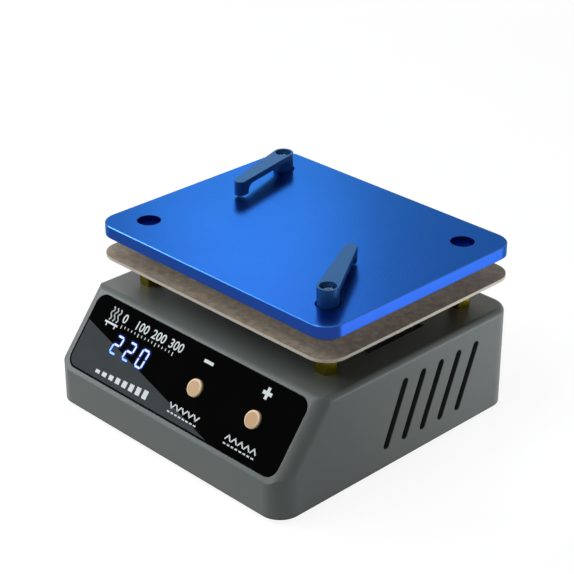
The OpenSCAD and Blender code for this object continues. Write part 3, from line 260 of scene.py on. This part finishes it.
def anodisedMaterial(name, color, rough, grain=7000.0, edgeTint=(1.0, 1.0, 1.0), metal=1.0):
    net = Net(name)
    fine = net.noise(grain, 3.0, 0.65)
    tint = net.varied(net.noise(90.0, 3.0), color, 0.95, 1.05)
    roughness = net.ramp(fine, 0.25, 0.75, rough - 0.04, rough + 0.05)
    relief = net.bump(fine, 0.004 * mm, edge=0.1 * mm)
    return net.surface(tint, roughness, metal, relief, {"Specular Tint": rgba(edgeTint)})


def turnedMaterial(name, color, rough):
    # Metal with faint rings from the lathe
    net = Net(name)
    rings = net.wave(3500.0, 0.6, "Z")
    fine = net.noise(2400.0, 3.0)
    roughness = net.ramp(fine, 0.3, 0.7, rough - 0.03, rough + 0.04)
    relief = net.bump(rings, 0.0008 * mm, 0.5, 0.1 * mm)
    return net.surface(net.varied(fine, color, 0.93, 1.04), roughness, 1.0, relief)


def boardMaterial(name, color):
    # Circuit board with paler tracks and small tinned pads
    net = Net(name)
    bricks = {"Vector": net.coord, "Scale": 90.0, "Mortar Size": 0.03}
    tracks = net.add("TexBrick", bricks, offset=0.4).outputs[1]
    pads = net.ramp(net.cells(260.0), 0.1, 0.14, 1.0, 0.0)
    tint = net.mix(pads, net.mix(tracks, color, scaled(color, 1.8)), (0.55, 0.5, 0.4))
    return net.surface(tint, 0.35, 0.0, net.bump(tracks, 0.02 * mm))


def wovenMaterial(name, color):
    net = Net(name)
    weave = net.wave(1300.0, 2.5, "DIAGONAL")
    tint = net.mix(weave, scaled(color, 0.7), color)
    return net.surface(tint, 0.75, 0.0, net.bump(weave, 0.08 * mm))


def glassMaterial(name, color, rough):
    net = Net(name)
    fine = net.noise(900.0)
    roughness = net.ramp(fine, 0.3, 0.7, rough * 0.7, rough * 1.3)
    clear = {"Transmission Weight": 1.0, "IOR": 1.45}
    return net.surface(color, roughness, 0.0, net.bump(fine, 0.002 * mm, 0.5), clear)


def lightMaterial(name, color, strength):
    net = Net(name)
    fine = net.noise(1500.0)
    shine = {"Emission Color": net.varied(fine, color, 0.9, 1.05), "Emission Strength": strength}
    return net.surface(scaled(color, 0.5), 0.3, 0.0, net.bump(fine, 0.002 * mm, 0.5), shine)


# Anodised heating plate: a fine blasted grain, and chamfers that were cut bright
plateLook = {
    "color": (0.014, 0.047, 0.262),
    "edgeTint": (0.5, 0.8, 1.0),
    "rough": 0.28,
    "grainScale": 6500.0,
    "grainDepth": 0.003 * mm,
    "edge": 0.1 * mm,
    "chamferTilt": (0.3, 0.93),  # the z of a chamfer's normal lies between these
    "chamferColor": (0.012, 0.1, 0.36),
    "chamferCoat": 0.4,
    "coatRough": 0.2,
}


def plateMaterial(name):
    look = plateLook
    net = Net(name)
    fine = net.noise(look["grainScale"], 3.0, 0.65)
    tint = net.varied(net.noise(70.0, 3.0), look["color"], 0.97, 1.03)
    roughness = net.ramp(fine, 0.25, 0.75, look["rough"] - 0.03, look["rough"] + 0.04)
    tilted = net.between(net.math("ABSOLUTE", net.normalZ()), *look["chamferTilt"])
    relief = net.bump(fine, look["grainDepth"], edge=look["edge"])
    return net.surface(net.mix(tilted, tint, look["chamferColor"]), roughness, 1.0, relief, {
        "Specular Tint": rgba(look["edgeTint"]),
        "Coat Weight": net.math("MULTIPLY", tilted, look["chamferCoat"]),
        "Coat Roughness": look["coatRough"],
    })


# Moulded button caps with a painted highlight along their rim
buttonLook = {
    "color": (0.5, 0.275, 0.105),
    "rimHighlight": (0.84, 0.6, 0.39),
    "rough": 0.38,
    "capRadius": 2.25 * mm,
    "rimWidth": 0.42 * mm,
    "rimBlur": 0.05 * mm,
}


def buttonMaterial(name):
    # The rim, which carries a painted highlight, is found by the distance from the axis of the nearer button
    look = buttonLook
    net = Net(name)
    a = math.radians(panel["angle"])
    outward = (0.0, -math.sin(a), math.cos(a))
    away = []
    for node in ("button_minus", "button_plus"):
        low, high = (Vector(corner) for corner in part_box(node))
        arm = net.add("VectorMath", {0: net.coord, 1: (low + high) / 2}, operation="SUBTRACT").outputs[0]
        arm = net.add("VectorMath", {0: arm, 1: outward}, operation="CROSS_PRODUCT").outputs[0]
        away.append(net.add("VectorMath", {0: arm}, operation="LENGTH").outputs["Value"])
    rim, blur = look["capRadius"] - look["rimWidth"], look["rimBlur"]
    paintedRimHighlight = net.ramp(net.math("MINIMUM", *away), rim - blur, rim + blur)
    fine = net.noise(3000.0, 3.0, 0.6)
    tint = net.mix(paintedRimHighlight, net.varied(fine, look["color"], 0.96, 1.04), look["rimHighlight"])
    roughness = net.ramp(fine, 0.25, 0.75, look["rough"] - 0.04, look["rough"] + 0.05)
    return net.surface(tint, roughness, 0.0, net.bump(fine, 0.004 * mm))


# The finish of each material slot of the part
slots = {
    "housing": housingMaterial("housingGrey", (0.118, 0.13, 0.127), 0.36),
    "cover": housingMaterial("coverGrey", (0.05, 0.055, 0.053), 0.45),
    "panel": plainMaterial("panelBlack", (0.0026, 0.0026, 0.0026), 0.2, grain=900.0, depth=0.001 * mm,
                           edge=0.15 * mm, shine=0.0),
    "lens": plainMaterial("smokedLens", (0.0026, 0.0026, 0.0028), 0.2, grain=900.0, depth=0.001 * mm,
                          edge=0.0, shine=0.0),
    "lit_digits": lightMaterial("litDigits", (0.62, 0.75, 1.0), 2.2),
    "buttons": buttonMaterial("buttonTan"),
    "rubber": plainMaterial("rubberBlack", (0.012, 0.012, 0.012), 0.7, grain=1800.0, depth=0.04 * mm),
    "board_green": boardMaterial("boardGreen", (0.015, 0.11, 0.05)),
    "black_plastic": plainMaterial("blackPlastic", (0.012, 0.012, 0.013), 0.42, grain=2600.0),
    "white_plastic": plainMaterial("whitePlastic", (0.72, 0.7, 0.64), 0.45),
    "green_plastic": plainMaterial("greenPlastic", (0.02, 0.2, 0.08), 0.4),
    "ribbon": wovenMaterial("ribbonGrey", (0.42, 0.43, 0.46)),
    "rocker": plainMaterial("rockerBlack", (0.016, 0.016, 0.018), 0.3, grain=2600.0, depth=0.006 * mm,
                            edge=0.3 * mm),
    "ferrite": plainMaterial("ferrite", (0.035, 0.032, 0.03), 0.6, grain=1500.0, depth=0.04 * mm),
    "tape": plainMaterial("amberTape", (0.65, 0.32, 0.03), 0.25, grain=700.0, depth=0.03 * mm),
    "capacitor_sleeve": plainMaterial("capacitorSleeve", (0.012, 0.028, 0.09), 0.25),
    "glass": glassMaterial("clearGlass", (0.86, 0.9, 0.9), 0.03),
    "lead_sleeve": plainMaterial("redSleeve", (0.32, 0.03, 0.02), 0.4),
    "glass_sleeve": wovenMaterial("wovenSleeve", (0.7, 0.66, 0.55)),
    "insulation": insulationMaterial("insulationBoard"),
    "heater_ceramic": plainMaterial("heaterCeramic", (0.75, 0.72, 0.66), 0.55, grain=1400.0, depth=0.02 * mm),
    "blue_plate": plateMaterial("anodisedPlate"),
    "blue_arm": anodisedMaterial("anodisedArm", (0.01, 0.062, 0.19), 0.42, edgeTint=(0.4, 0.75, 1.0), metal=0.55),
    "bare_aluminium": anodisedMaterial("millAluminium", (0.6, 0.61, 0.63), 0.35, grain=3000.0),
    "brass": turnedMaterial("turnedBrass", (0.24, 0.185, 0.014), 0.24),
    "nickel": turnedMaterial("brightNickel", (0.58, 0.63, 0.69), 0.18),
    "steel": turnedMaterial("zincSteel", (0.45, 0.46, 0.48), 0.3),
    "spring_steel": turnedMaterial("springSteel", (0.55, 0.56, 0.58), 0.25),
}
slotOf = {part["node"]: part["material_slot"] for part in frame["record"]["subparts"]}
for nodeName, obj in frame["nodes"].items():
    obj.data.materials.clear()
    obj.data.materials.append(slots[slotOf[nodeName]])
print("materials:", len(slots))


def onPanel(x, s, lift):
    # A point over the sloped panel: x to the right and s up the slope, both in millimetres
    a = math.radians(panel["angle"])
    x, s = x * mm, s * mm
    return Vector((
        x,
        panel["frontY"] + s * math.cos(a) - lift * math.sin(a),
        panel["cornerZ"] + s * math.sin(a) + lift * math.cos(a),
    ))


def addObject(name, data):
    obj = bpy.data.objects.new(name, data)
    bpy.context.scene.collection.objects.link(obj)
    return obj


def meshPiece(name, polygons, material, glow=None):
    # A piece of flat polygons, each a list of points; glow is one number for each point
    points, faces = [], []
    for polygon in polygons:
        faces.append(tuple(range(len(points), len(points) + len(polygon))))
        points.extend(polygon)
    mesh = bpy.data.meshes.new(name)
    mesh.from_pydata(points, [], faces)
    mesh.materials.append(material)
    if glow:
        layer = mesh.attributes.new("glow", "FLOAT", "POINT")
        layer.data.foreach_set("value", glow)
    piece = addObject(name, mesh)
    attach(piece, "base")
    return piece


# All print is given in millimetres on the panel, as onPanel takes it.
# Grey wedge of the overlay, under an edge that falls to the right
wedge = {
    "edge": [(-36.75, 13.9), (14.6, 1.85)],
    "border": 0.35,
    "cornerSteps": 8,
    "color": (0.06, 0.066, 0.072),
    "rough": 0.32,
}


def addWedge():
    border, steps = wedge["border"], wedge["cornerSteps"]
    low, half = panel["low"] / mm + border, panel["halfWidth"] / mm - border
    r = panel["cornerRadius"] / mm - border
    outline = list(wedge["edge"])
    for i in range(steps + 1):
        a = math.radians(270 - 90 * i / steps)
        outline.append((-half + r + r * math.cos(a), low + r + r * math.sin(a)))
    grey = plainMaterial("wedgeGrey", wedge["color"], wedge["rough"], grain=1600.0, depth=0.002 * mm,
                         edge=0.0, tone=0.05, shine=0.0)
    piece = meshPiece("panelWedge", [[onPanel(x, s, panel["wedgeLift"]) for x, s in outline]], grey)


class Grower:
    # A Geometry Nodes tree with named inputs, whose result becomes a plain mesh
    def __init__(self, name, sizes):
        self.tree = bpy.data.node_groups.new(name, "GeometryNodeTree")
        self.sockets = {}
        newSocket = self.tree.interface.new_socket
        for label, kind in [("Geometry", "Geometry")] + sizes + [("Material", "Material")]:
            self.sockets[label] = newSocket(label, in_out="INPUT", socket_type="NodeSocket" + kind)
        newSocket("Geometry", in_out="OUTPUT", socket_type="NodeSocketGeometry")
        self.given = self.tree.nodes.new("NodeGroupInput").outputs

    def add(self, kind, inputs=None, **settings):
        return addNode(self.tree, kind, inputs, **settings).outputs

    def math(self, operation, *values):
        return self.add("ShaderNodeMath", dict(enumerate(values)), operation=operation)[0]

    def finish(self, shape):
        whole = self.add("GeometryNodeRealizeInstances", {0: shape})[0]
        colored = self.add("GeometryNodeSetMaterial", {0: whole, "Material": self.given["Material"]})[0]
        self.add("NodeGroupOutput", {0: colored})

    def grow(self, base, values):
        maker = addObject("maker", base)
        modifier = maker.modifiers.new("grow", "NODES")
        modifier.node_group = self.tree
        for label, value in values.items():
            modifier[self.sockets[label].identifier] = value
        shape = maker.evaluated_get(bpy.context.evaluated_depsgraph_get())
        mesh = bpy.data.meshes.new_from_object(shape)
        maker.modifiers.clear()
        bpy.data.objects.remove(maker)
        bpy.data.meshes.remove(base)
        return mesh


def markRowTree():
    # Repeats a mark along x. Growth makes each one taller than the last, and the first and
    # every so many after it are Tall times as high
    tree = Grower("markRow", [
        ("Count", "Int"), ("Step", "Float"), ("Growth", "Float"), ("Every", "Int"), ("Tall", "Float"),
    ])
    given = tree.given
    step = tree.add("ShaderNodeCombineXYZ", {0: given["Step"]})[0]
    line = tree.add("GeometryNodeMeshLine", {"Count": given["Count"], "Offset": step}, mode="OFFSET")[0]
    index = tree.add("GeometryNodeInputIndex")[0]
    grown = tree.math("MULTIPLY_ADD", index, given["Growth"], 1.0)
    first = tree.math("LESS_THAN", tree.math("MODULO", index, given["Every"]), 0.5)
    taller = tree.math("MULTIPLY_ADD", first, tree.math("SUBTRACT", given["Tall"], 1.0), 1.0)
    size = tree.add("ShaderNodeCombineXYZ", {0: 1.0, 1: tree.math("MULTIPLY", grown, taller), 2: 1.0})[0]
    row = {"Points": line, "Instance": given["Geometry"], "Scale": size}
    tree.finish(tree.add("GeometryNodeInstanceOnPoints", row)[0])
    return tree


addWedge()
markRows = markRowTree()
ink = plainMaterial("whiteInk", (0.63, 0.66, 0.67), 0.45, grain=2200.0, depth=0.002 * mm, edge=0.0, tone=0.04)


def printed(name, shapes):
    # A piece printed on the overlay, from flat shapes whose corners are (x, s) on the panel
    piece = meshPiece(name, [[onPanel(x, s, panel["inkLift"]) for x, s in shape] for shape in shapes], ink)


def rectangle(x, s, w, h):
    return [(x + i * w / 2, s + j * h / 2) for i, j in ((-1, -1), (1, -1), (1, 1), (-1, 1))]


def stroke(points, w):
    # A line of width w along the points, one quad to a stretch, its ends square
    quads = []
    for (x1, s1), (x2, s2) in zip(points, points[1:]):
        length = math.hypot(x2 - x1, s2 - s1)
        ux, us = (x2 - x1) / length * w / 2, (s2 - s1) / length * w / 2
        quads.append([(x1 - ux + us, s1 - us - ux), (x2 + ux + us, s2 + us - ux),
                      (x2 + ux - us, s2 + us + ux), (x1 - ux - us, s1 - us + ux)])
    return quads


def markRow(mark, x, s, count, step, growth=0.0, every=1, tall=1.0):
    # Flat shapes of a mark repeated to the right of (x, s)
    base = bpy.data.meshes.new("mark")
    corners, faces = [], []
    for shape in mark:
        faces.append(range(len(corners), len(corners) + len(shape)))
        corners += [(u, v, 0.0) for u, v in shape]
    base.from_pydata(corners, [], faces)
    mesh = markRows.grow(base, {
        "Count": count, "Step": step, "Growth": growth, "Every": every, "Tall": tall, "Material": ink,
    })
    places = [(x + vertex.co.x, s + vertex.co.y) for vertex in mesh.vertices]
    shapes = [[places[i] for i in face.vertices] for face in mesh.polygons]
    bpy.data.meshes.remove(mesh)
    return shapes


def flatText(words, x, s, height, lean, digitShare=0.72, weight=0.012):
    # Flat shapes of words that stand on the line s. A digit's height is digitShare of the font's size
    curve = bpy.data.curves.new("words", "FONT")
    curve.body = words
    curve.size = height / digitShare
    curve.align_x = "CENTER"
    curve.resolution_u = 3
    curve.offset = height * weight
    maker = addObject("words", curve)
    mesh = bpy.data.meshes.new_from_object(maker.evaluated_get(bpy.context.evaluated_depsgraph_get()))
    polygons = []
    for face in mesh.polygons:
        corners = [mesh.vertices[i].co for i in face.vertices]
        polygon = [(x + c.x + lean * c.y, s + c.y) for c in corners]
        polygons.append(polygon if face.normal.z > 0 else polygon[::-1])
    bpy.data.objects.remove(maker)
    bpy.data.curves.remove(curve)
    bpy.data.meshes.remove(mesh)
    return polygons


# Signs over the buttons: middle (x, s), length and line width
signs = {
    "minus": (5.05, 18.25, 3.15, 0.82),
    "plus": (24.9, 18.25, 2.95, 0.9),
}


def addSigns():
    shapes = [rectangle(*signs["minus"])]
    x, s, w, h = signs["plus"]
    shapes.append(rectangle(x, s, w, h))
    for side in (1, -1):
        shapes.append(rectangle(x, s + side * (w + h) / 4, h, (w - h) / 2))
    printed("panelSigns", shapes)


# Plain temperature scale
scale = {
    "left": -25.6,
    "right": -6.6,
    "numbers": ["0", "100", "200", "300"],
    "numberBase": 17.0,
    "numberHeight": 2.4,
    "numberLean": 0.1,
    "tickTop": 16.4,
    "tickWidth": 0.26,
    "tickShort": 0.6,
    "tickLong": 0.95,
    "ticksPerNumber": 5,
}


def addScale():
    numbers, short, parts = scale["numbers"], scale["tickShort"], scale["ticksPerNumber"]
    step = (scale["right"] - scale["left"]) / (len(numbers) - 1)
    shapes = []
    for i, number in enumerate(numbers):
        x = scale["left"] + i * step
        shapes += flatText(number, x, scale["numberBase"], scale["numberHeight"], scale["numberLean"])
    tick = rectangle(0.0, -short / 2, scale["tickWidth"], short)
    count = parts * (len(numbers) - 1) + 1
    tall = scale["tickLong"] / short
    shapes += markRow([tick], scale["left"], scale["tickTop"], count, step / parts, 0.0, parts, tall)
    printed("panelScale", shapes)


# Pictogram of a plate on two feet, with three waves of heat above it
plateSign = {
    "place": (-29.2, 17.0),
    "halfWidth": 2.1,
    "drop": 1.5,
    "line": 0.5,
    "footAside": 1.5,
    "footDrop": (2.3, 2.0),
    "footLine": 0.4,
    "waves": (-1.3, 0.0, 1.3),
    "waveDrop": 0.7,
    "waveHeight": 3.2,
    "waveSwing": 0.32,
    "waveLine": 0.36,
    "waveSteps": 12,
}


def addPlateSign():
    sign = plateSign
    x, s = sign["place"]
    low, half, steps = s - sign["drop"], sign["halfWidth"], sign["waveSteps"]
    shapes = stroke([(x - half, low), (x + half, low)], sign["line"])
    for side in (-1, 1):
        foot = [(x + side * sign["footAside"], s - drop) for drop in sign["footDrop"]]
        shapes += stroke(foot, sign["footLine"])
    for offset in sign["waves"]:
        points = [
            (x + offset + sign["waveSwing"] * math.sin(i * math.pi / 4),
             s - sign["waveDrop"] + sign["waveHeight"] * i / steps)
            for i in range(steps + 1)
        ]
        shapes += stroke(points, sign["waveLine"])
    printed("panelPlateSign", shapes)


# Bars that rise to the right
levels = {
    "left": -27.4,
    "right": -7.4,
    "count": 8,
    "base": 3.1,
    "low": 0.9,
    "high": 2.2,
    "widthShare": 0.62,
}


def addLevels():
    count, low = levels["count"], levels["low"]
    pitch = (levels["right"] - levels["left"]) / count
    bar = rectangle(0.0, low / 2, pitch * levels["widthShare"], low)
    growth = (levels["high"] / low - 1.0) / (count - 1)
    printed("panelLevels", markRow([bar], levels["left"] + pitch / 2, levels["base"], count, pitch, growth))


# Rows of arrow heads over a dashed line: down at the left button, up at the right one
arrows = {
    "rows": [(4.9, 5.15, -1), (24.5, 5.15, 1)],  # middle, height, way
    "halfWidth": 0.8,
    "halfHeight": 0.55,
    "line": 0.36,
    "step": 2.1,
    "count": 5,
    "dashDrop": 1.6,
    "dashLength": 0.86,
    "dashLine": 0.36,
    "dashStep": 1.32,
    "dashCount": 8,
}


def addArrows():
    half, rise = arrows["halfWidth"], arrows["halfHeight"]
    count, step = arrows["count"], arrows["step"]
    dashes, dashStep = arrows["dashCount"], arrows["dashStep"]
    dash = rectangle(0.0, 0.0, arrows["dashLength"], arrows["dashLine"])
    shapes = []
    for x, s, way in arrows["rows"]:
        head = stroke([(-half, -way * rise), (0.0, way * rise), (half, -way * rise)], arrows["line"])
        shapes += markRow(head, x - step * (count - 1) / 2, s, count, step)
        shapes += markRow([dash], x - dashStep * (dashes - 1) / 2, s - arrows["dashDrop"], dashes, dashStep)
    printed("panelArrows", shapes)


# Digits that shine through the overlay: a white-blue bar with a blue halo
digits = {
    "x": -19.4,
    "s": 11.433,
    "pitch": 4.8,
    "width": 2.7,
    "height": 5.1,
    "bar": 0.52,
    "gap": 0.16,
    "lean": 7.0,
    "lift": 0.08 * mm,
    "barColor": (0.66, 0.78, 1.0),
    "lowColor": (0.32, 0.58, 0.86),
    "lowSlope": 0.1925,  # how far the wedge's edge falls in z for a metre in x
    "lowEdge": (0.01378, 0.01408),  # its z at the panel's middle, where the dimming ends
    "strength": 1.05,
    "haloReach": 0.7,
    "haloColor": (0.06, 0.13, 0.7),
    "haloStrength": 0.55,
    "haloFall": 2.2,
    "haloShare": 0.62,
    "haloLift": 0.02 * mm,
    "haloStep": 0.003 * mm,  # each bar's halo lies this much over the last one's
    "haloSides": 20,
}


def litBars():
    # Middle, angle and length of each lit bar of 220
    w, h, bar, gap = digits["width"], digits["height"], digits["bar"], digits["gap"]
    lean = math.tan(math.radians(digits["lean"]))
    flat, upright = w - bar - gap, h / 2 - bar / 2 - gap
    two = ((-1, 0, 1), ((-1, -1), (1, 1)))
    nought = ((-1, 1), ((-1, -1), (-1, 1), (1, -1), (1, 1)))
    bars = []
    for place, (flats, uprights) in zip((-1, 0, 1), (two, two, nought)):
        x, s = digits["x"] + place * digits["pitch"], digits["s"]
        for up in flats:
            rise = up * (h - bar) / 2
            bars.append((x + rise * lean, s + rise, 0.0, flat))
        for side, up in uprights:
            rise = up * (h - bar) / 4
            bars.append((x + side * (w - bar) / 2 + rise * lean, s + rise, 90.0 - digits["lean"], upright))
    return bars


def byBar(x, s, angle, u, v, lift):
    # A panel point that lies u along a bar and v across it, from its middle
    a = math.radians(angle)
    return onPanel(x + u * math.cos(a) - v * math.sin(a), s + u * math.sin(a) + v * math.cos(a), lift)


def barOutline(x, s, angle, length):
    half, tip = digits["bar"] / 2, length / 2
    flat = tip - half
    corners = [(-tip, 0), (-flat, -half), (flat, -half), (tip, 0), (flat, half), (-flat, half)]
    return [byBar(x, s, angle, u, v, digits["lift"]) for u, v in corners]


def haloRing(x, s, angle, length, lift):
    # Quads between two rounded outlines about a bar, and the glow at each of their corners
    inner, count = digits["bar"] / 2, digits["haloSides"]
    outer = inner + digits["haloReach"]
    quads, glow = [], []

    def point(i, r):
        b = math.tau * i / count
        u = math.copysign(length / 2 - inner, math.cos(b)) + r * math.cos(b)
        return byBar(x, s, angle, u, r * math.sin(b), lift)

    for i in range(count):
        i += 0.5
        quads.append([point(i, inner), point(i, outer), point(i + 1, outer), point(i + 1, inner)])
        glow += [1.0, 0.0, 0.0, 1.0]
    quads.append([point(i + 0.5, inner) for i in range(count)])
    glow += [1.0] * count
    return quads, glow


def digitMaterial():
    # The part of a digit over the grey wedge is dimmer and bluer
    net = Net("litBars")
    along = net.math("MULTIPLY_ADD", net.place(0), digits["lowSlope"], net.place(2))
    tone = net.mix(net.ramp(along, *digits["lowEdge"]), digits["lowColor"], digits["barColor"])
    return net.surface(digits["haloColor"], 0.4, extra={
        "Emission Color": tone, "Emission Strength": digits["strength"], "Specular IOR Level": 0.1,
    })


def haloMaterial():
    net = Net("digitHalo")
    glow = net.add("Attribute", attribute_name="glow").outputs["Fac"]
    share = net.math("MULTIPLY", net.math("POWER", glow, digits["haloFall"]), digits["haloShare"])
    clear = net.add("BsdfTransparent").outputs[0]
    light = {"Color": rgba(digits["haloColor"]), "Strength": digits["haloStrength"]}
    return net.finish(net.add("MixShader", {0: share, 1: clear, 2: net.add("Emission", light).outputs[0]}))


def addDigits():
    halo, glow, shapes = [], [], []
    for i, bar in enumerate(litBars()):
        ring, shine = haloRing(*bar, digits["haloLift"] + i * digits["haloStep"])
        halo += ring
        glow += shine
        shapes.append(barOutline(*bar))
    meshPiece("digitHalo", halo, haloMaterial(), glow)
    meshPiece("litDigits", shapes, digitMaterial())


addSigns()
addScale()
addPlateSign()
addLevels()
addArrows()
addDigits()
print("panel print and digits added")

# Springs over the clamp arms' washers. The wire is in millimetres, and the end turns lie closed
spring = {
    "wire": 0.3,
    "turns": 3.5,
    "endTurns": 0.75,
    "wireSides": 10,
    "stepsPerTurn": 28,
}


def springTree():
    tree = Grower("coilSpring", [
        ("Radius", "Float"), ("Wire", "Float"), ("Turns", "Float"), ("End Turns", "Float"), ("Height", "Float"),
    ])
    given = tree.given
    flat = tree.add("GeometryNodeCurveSpiral", {
        "Resolution": tree.add("FunctionNodeInputInt", integer=spring["stepsPerTurn"])[0],
        "Rotations": given["Turns"],
        "Start Radius": given["Radius"],
        "End Radius": given["Radius"],
        "Height": 0.0,
    })[0]
    along = tree.add("GeometryNodeSplineParameter")["Factor"]
    share = tree.math("DIVIDE", given["End Turns"], given["Turns"])
    rest = tree.math("SUBTRACT", 1.0, share)
    closed = tree.math("MULTIPLY", given["End Turns"], given["Wire"])
    free = tree.math("SUBTRACT", given["Height"], tree.math("MULTIPLY", closed, 2.0))
    low, middle, high = (
        tree.add("ShaderNodeMapRange", {0: along, 1: start, 2: end, 3: 0.0, 4: rise})[0]
        for start, end, rise in ((0.0, share, closed), (share, rest, free), (rest, 1.0, closed))
    )
    climb = tree.math("ADD", tree.math("ADD", low, middle), high)
    lifted = tree.add("ShaderNodeCombineXYZ", {2: climb})[0]
    path = tree.add("GeometryNodeSetPosition", {"Geometry": flat, "Offset": lifted})[0]
    section = tree.add("GeometryNodeCurvePrimitiveCircle", {
        "Resolution": spring["wireSides"], "Radius": tree.math("MULTIPLY", given["Wire"], 0.5),
    })[0]
    wire = {"Curve": path, "Profile Curve": section, "Fill Caps": True}
    tree.finish(tree.add("GeometryNodeSetShadeSmooth", {0: tree.add("GeometryNodeCurveToMesh", wire)[0]})[0])
    return tree


def addSprings():
    coils = springTree()
    for side in ("front", "rear"):
        node, joint = side + "_clamp_spring", side + "_clamp_lift"
        low, high = (Vector(corner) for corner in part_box(node))
        x, y = (low.x + high.x) / 2, (low.y + high.y) / 2
        wire, length = spring["wire"] * mm, high.z - low.z
        mesh = coils.grow(bpy.data.meshes.new("nothing"), {
            "Radius": (high.x - low.x - wire) / 2,
            "Wire": wire,
            "Turns": spring["turns"],
            "End Turns": spring["endTurns"],
            "Height": length - wire,
            "Material": slots["spring_steel"],
        })
        mesh.transform(Matrix.Translation((x, y, low.z + wire / 2)))
        mesh.name = side + "Spring"
        piece = addObject(side + "Spring", mesh)
        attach(piece, "base")
        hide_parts(node)
        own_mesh(piece)


addSprings()
print("springs added")

# Angles in degrees, the lens in millimetres
camera = {
    "azimuth": 45.599,
    "elevation": 27.21,
    "roll": 0.077,
    "position": (0.27308, -0.2669256, 0.228178),
    "lens": 109.567,
    "sensor": 36.0,
    "clipStart": 0.01,
}


def addCamera():
    az, el, roll = (math.radians(camera[key]) for key in ("azimuth", "elevation", "roll"))
    right = Vector((math.cos(az), math.sin(az), 0.0))
    ahead = Vector((-math.sin(az) * math.cos(el), math.cos(az) * math.cos(el), -math.sin(el)))
    up = right.cross(ahead)
    across = right * math.cos(roll) + up * math.sin(roll)
    above = up * math.cos(roll) - right * math.sin(roll)
    data = bpy.data.cameras.new("camera")
    data.lens, data.sensor_width, data.clip_start = camera["lens"], camera["sensor"], camera["clipStart"]
    obj = addObject("camera", data)
    obj.matrix_world = Matrix((
        (across.x, above.x, -ahead.x, camera["position"][0]),
        (across.y, above.y, -ahead.y, camera["position"][1]),
        (across.z, above.z, -ahead.z, camera["position"][2]),
        (0.0, 0.0, 0.0, 1.0),
    ))
    bpy.context.scene.camera = obj


# name, place, aim, width, height, watts, color
lamps = [
    ("leftLow", (-0.605, -0.393, 0.368), (0.0, 0.0, 0.02), 0.28, 0.28, 2.95, (0.93, 1.0, 1.0)),
    ("frontHigh", (-0.15, -0.24, 0.62), (0.0, 0.0, 0.02), 0.4, 0.4, 2.0, (0.96, 1.0, 1.0)),
    ("overhead", (0.0, 0.0, 0.7), (0.0, 0.0, 0.02), 0.5, 0.5, 0.3, (1.0, 1.0, 1.0)),
    ("backLeft", (-0.51, 0.459, 0.412), (0.0, 0.0, 0.02), 0.14, 0.14, 0.28, (1.0, 1.0, 1.0)),
    ("underPlate", (0.0, 0.0062, 0.0416), (0.0, 0.0062, 0.0), 0.078, 0.064, 0.0055, (1.0, 0.98, 0.95)),
    ("rightStrip", (0.0965, 0.066, 0.014), (0.0, 0.066, 0.06), 0.11, 0.03, 0.043, (0.93, 1.0, 1.0)),
]


def addLamps():
    for name, place, aim, width, height, watts, color in lamps:
        data = bpy.data.lights.new(name, "AREA")
        data.shape = "RECTANGLE"
        data.size, data.size_y, data.energy, data.color = width, height, watts, color
        obj = addObject(name, data)
        obj.location = place
        obj.rotation_euler = (Vector(aim) - Vector(place)).to_track_quat("-Z", "Y").to_euler()
        obj.visible_camera = False


# The world and the floor look white to the camera, in gloss and through glass. Other rays get
# the world's fill and the floor's tone
surroundings = {
    "fill": 0.13,
    "floorTone": 0.76,
    "floorGlow": 1.12,
    "floorHalf": 4.0,
    "nearShare": 0.8,  # of white in the floor near the object, so that its shadow shows
    "nearEnd": 0.3,
    "farStart": 1.1,
}


def addWorld():
    world = bpy.data.worlds.new("surroundings")
    bpy.context.scene.world = world
    world.use_nodes = True
    tree = world.node_tree
    tree.nodes.clear()
    rays = addNode(tree, "ShaderNodeLightPath").outputs
    seen = rays["Is Camera Ray"]
    for kind in ("Is Transmission Ray", "Is Glossy Ray"):
        seen = addNode(tree, "ShaderNodeMath", {0: seen, 1: rays[kind]}, operation="MAXIMUM").outputs[0]
    strength = addNode(tree, "ShaderNodeMapRange", {0: seen, 3: surroundings["fill"], 4: 1.0}).outputs[0]
    light = {"Color": (1.0, 1.0, 1.0, 1.0), "Strength": strength}
    background = addNode(tree, "ShaderNodeBackground", light).outputs[0]
    addNode(tree, "ShaderNodeOutputWorld", {0: background})


def floorMaterial():
    net = Net("floorWhite")
    rays = net.add("LightPath").outputs
    tone = surroundings["floorTone"]
    matte = net.add("BsdfDiffuse", {"Color": (tone, tone, tone, 1.0)}).outputs[0]
    light = {"Color": (1.0, 1.0, 1.0, 1.0), "Strength": surroundings["floorGlow"]}
    white = net.add("Emission", light).outputs[0]
    seen = rays["Is Camera Ray"]
    for kind in ("Is Transmission Ray", "Is Glossy Ray"):
        seen = net.math("MAXIMUM", seen, rays[kind])
    away = net.add("VectorMath", {0: net.coord}, operation="LENGTH").outputs["Value"]
    share = net.ramp(away, surroundings["nearEnd"], surroundings["farStart"], surroundings["nearShare"], 1.0)
    return net.finish(net.add("MixShader", {0: net.math("MULTIPLY", seen, share), 1: matte, 2: white}))


def addFloor():
    half = surroundings["floorHalf"]
    mesh = bpy.data.meshes.new("floor")
    mesh.from_pydata([(-half, -half, 0), (half, -half, 0), (half, half, 0), (-half, half, 0)], [], [(0, 1, 2, 3)])
    mesh.materials.append(floorMaterial())
    floor = addObject("floor", mesh)


addCamera()
addLamps()
addWorld()
addFloor()
bpy.context.scene.view_settings.view_transform = "Standard"
print("camera, lamps and floor added")
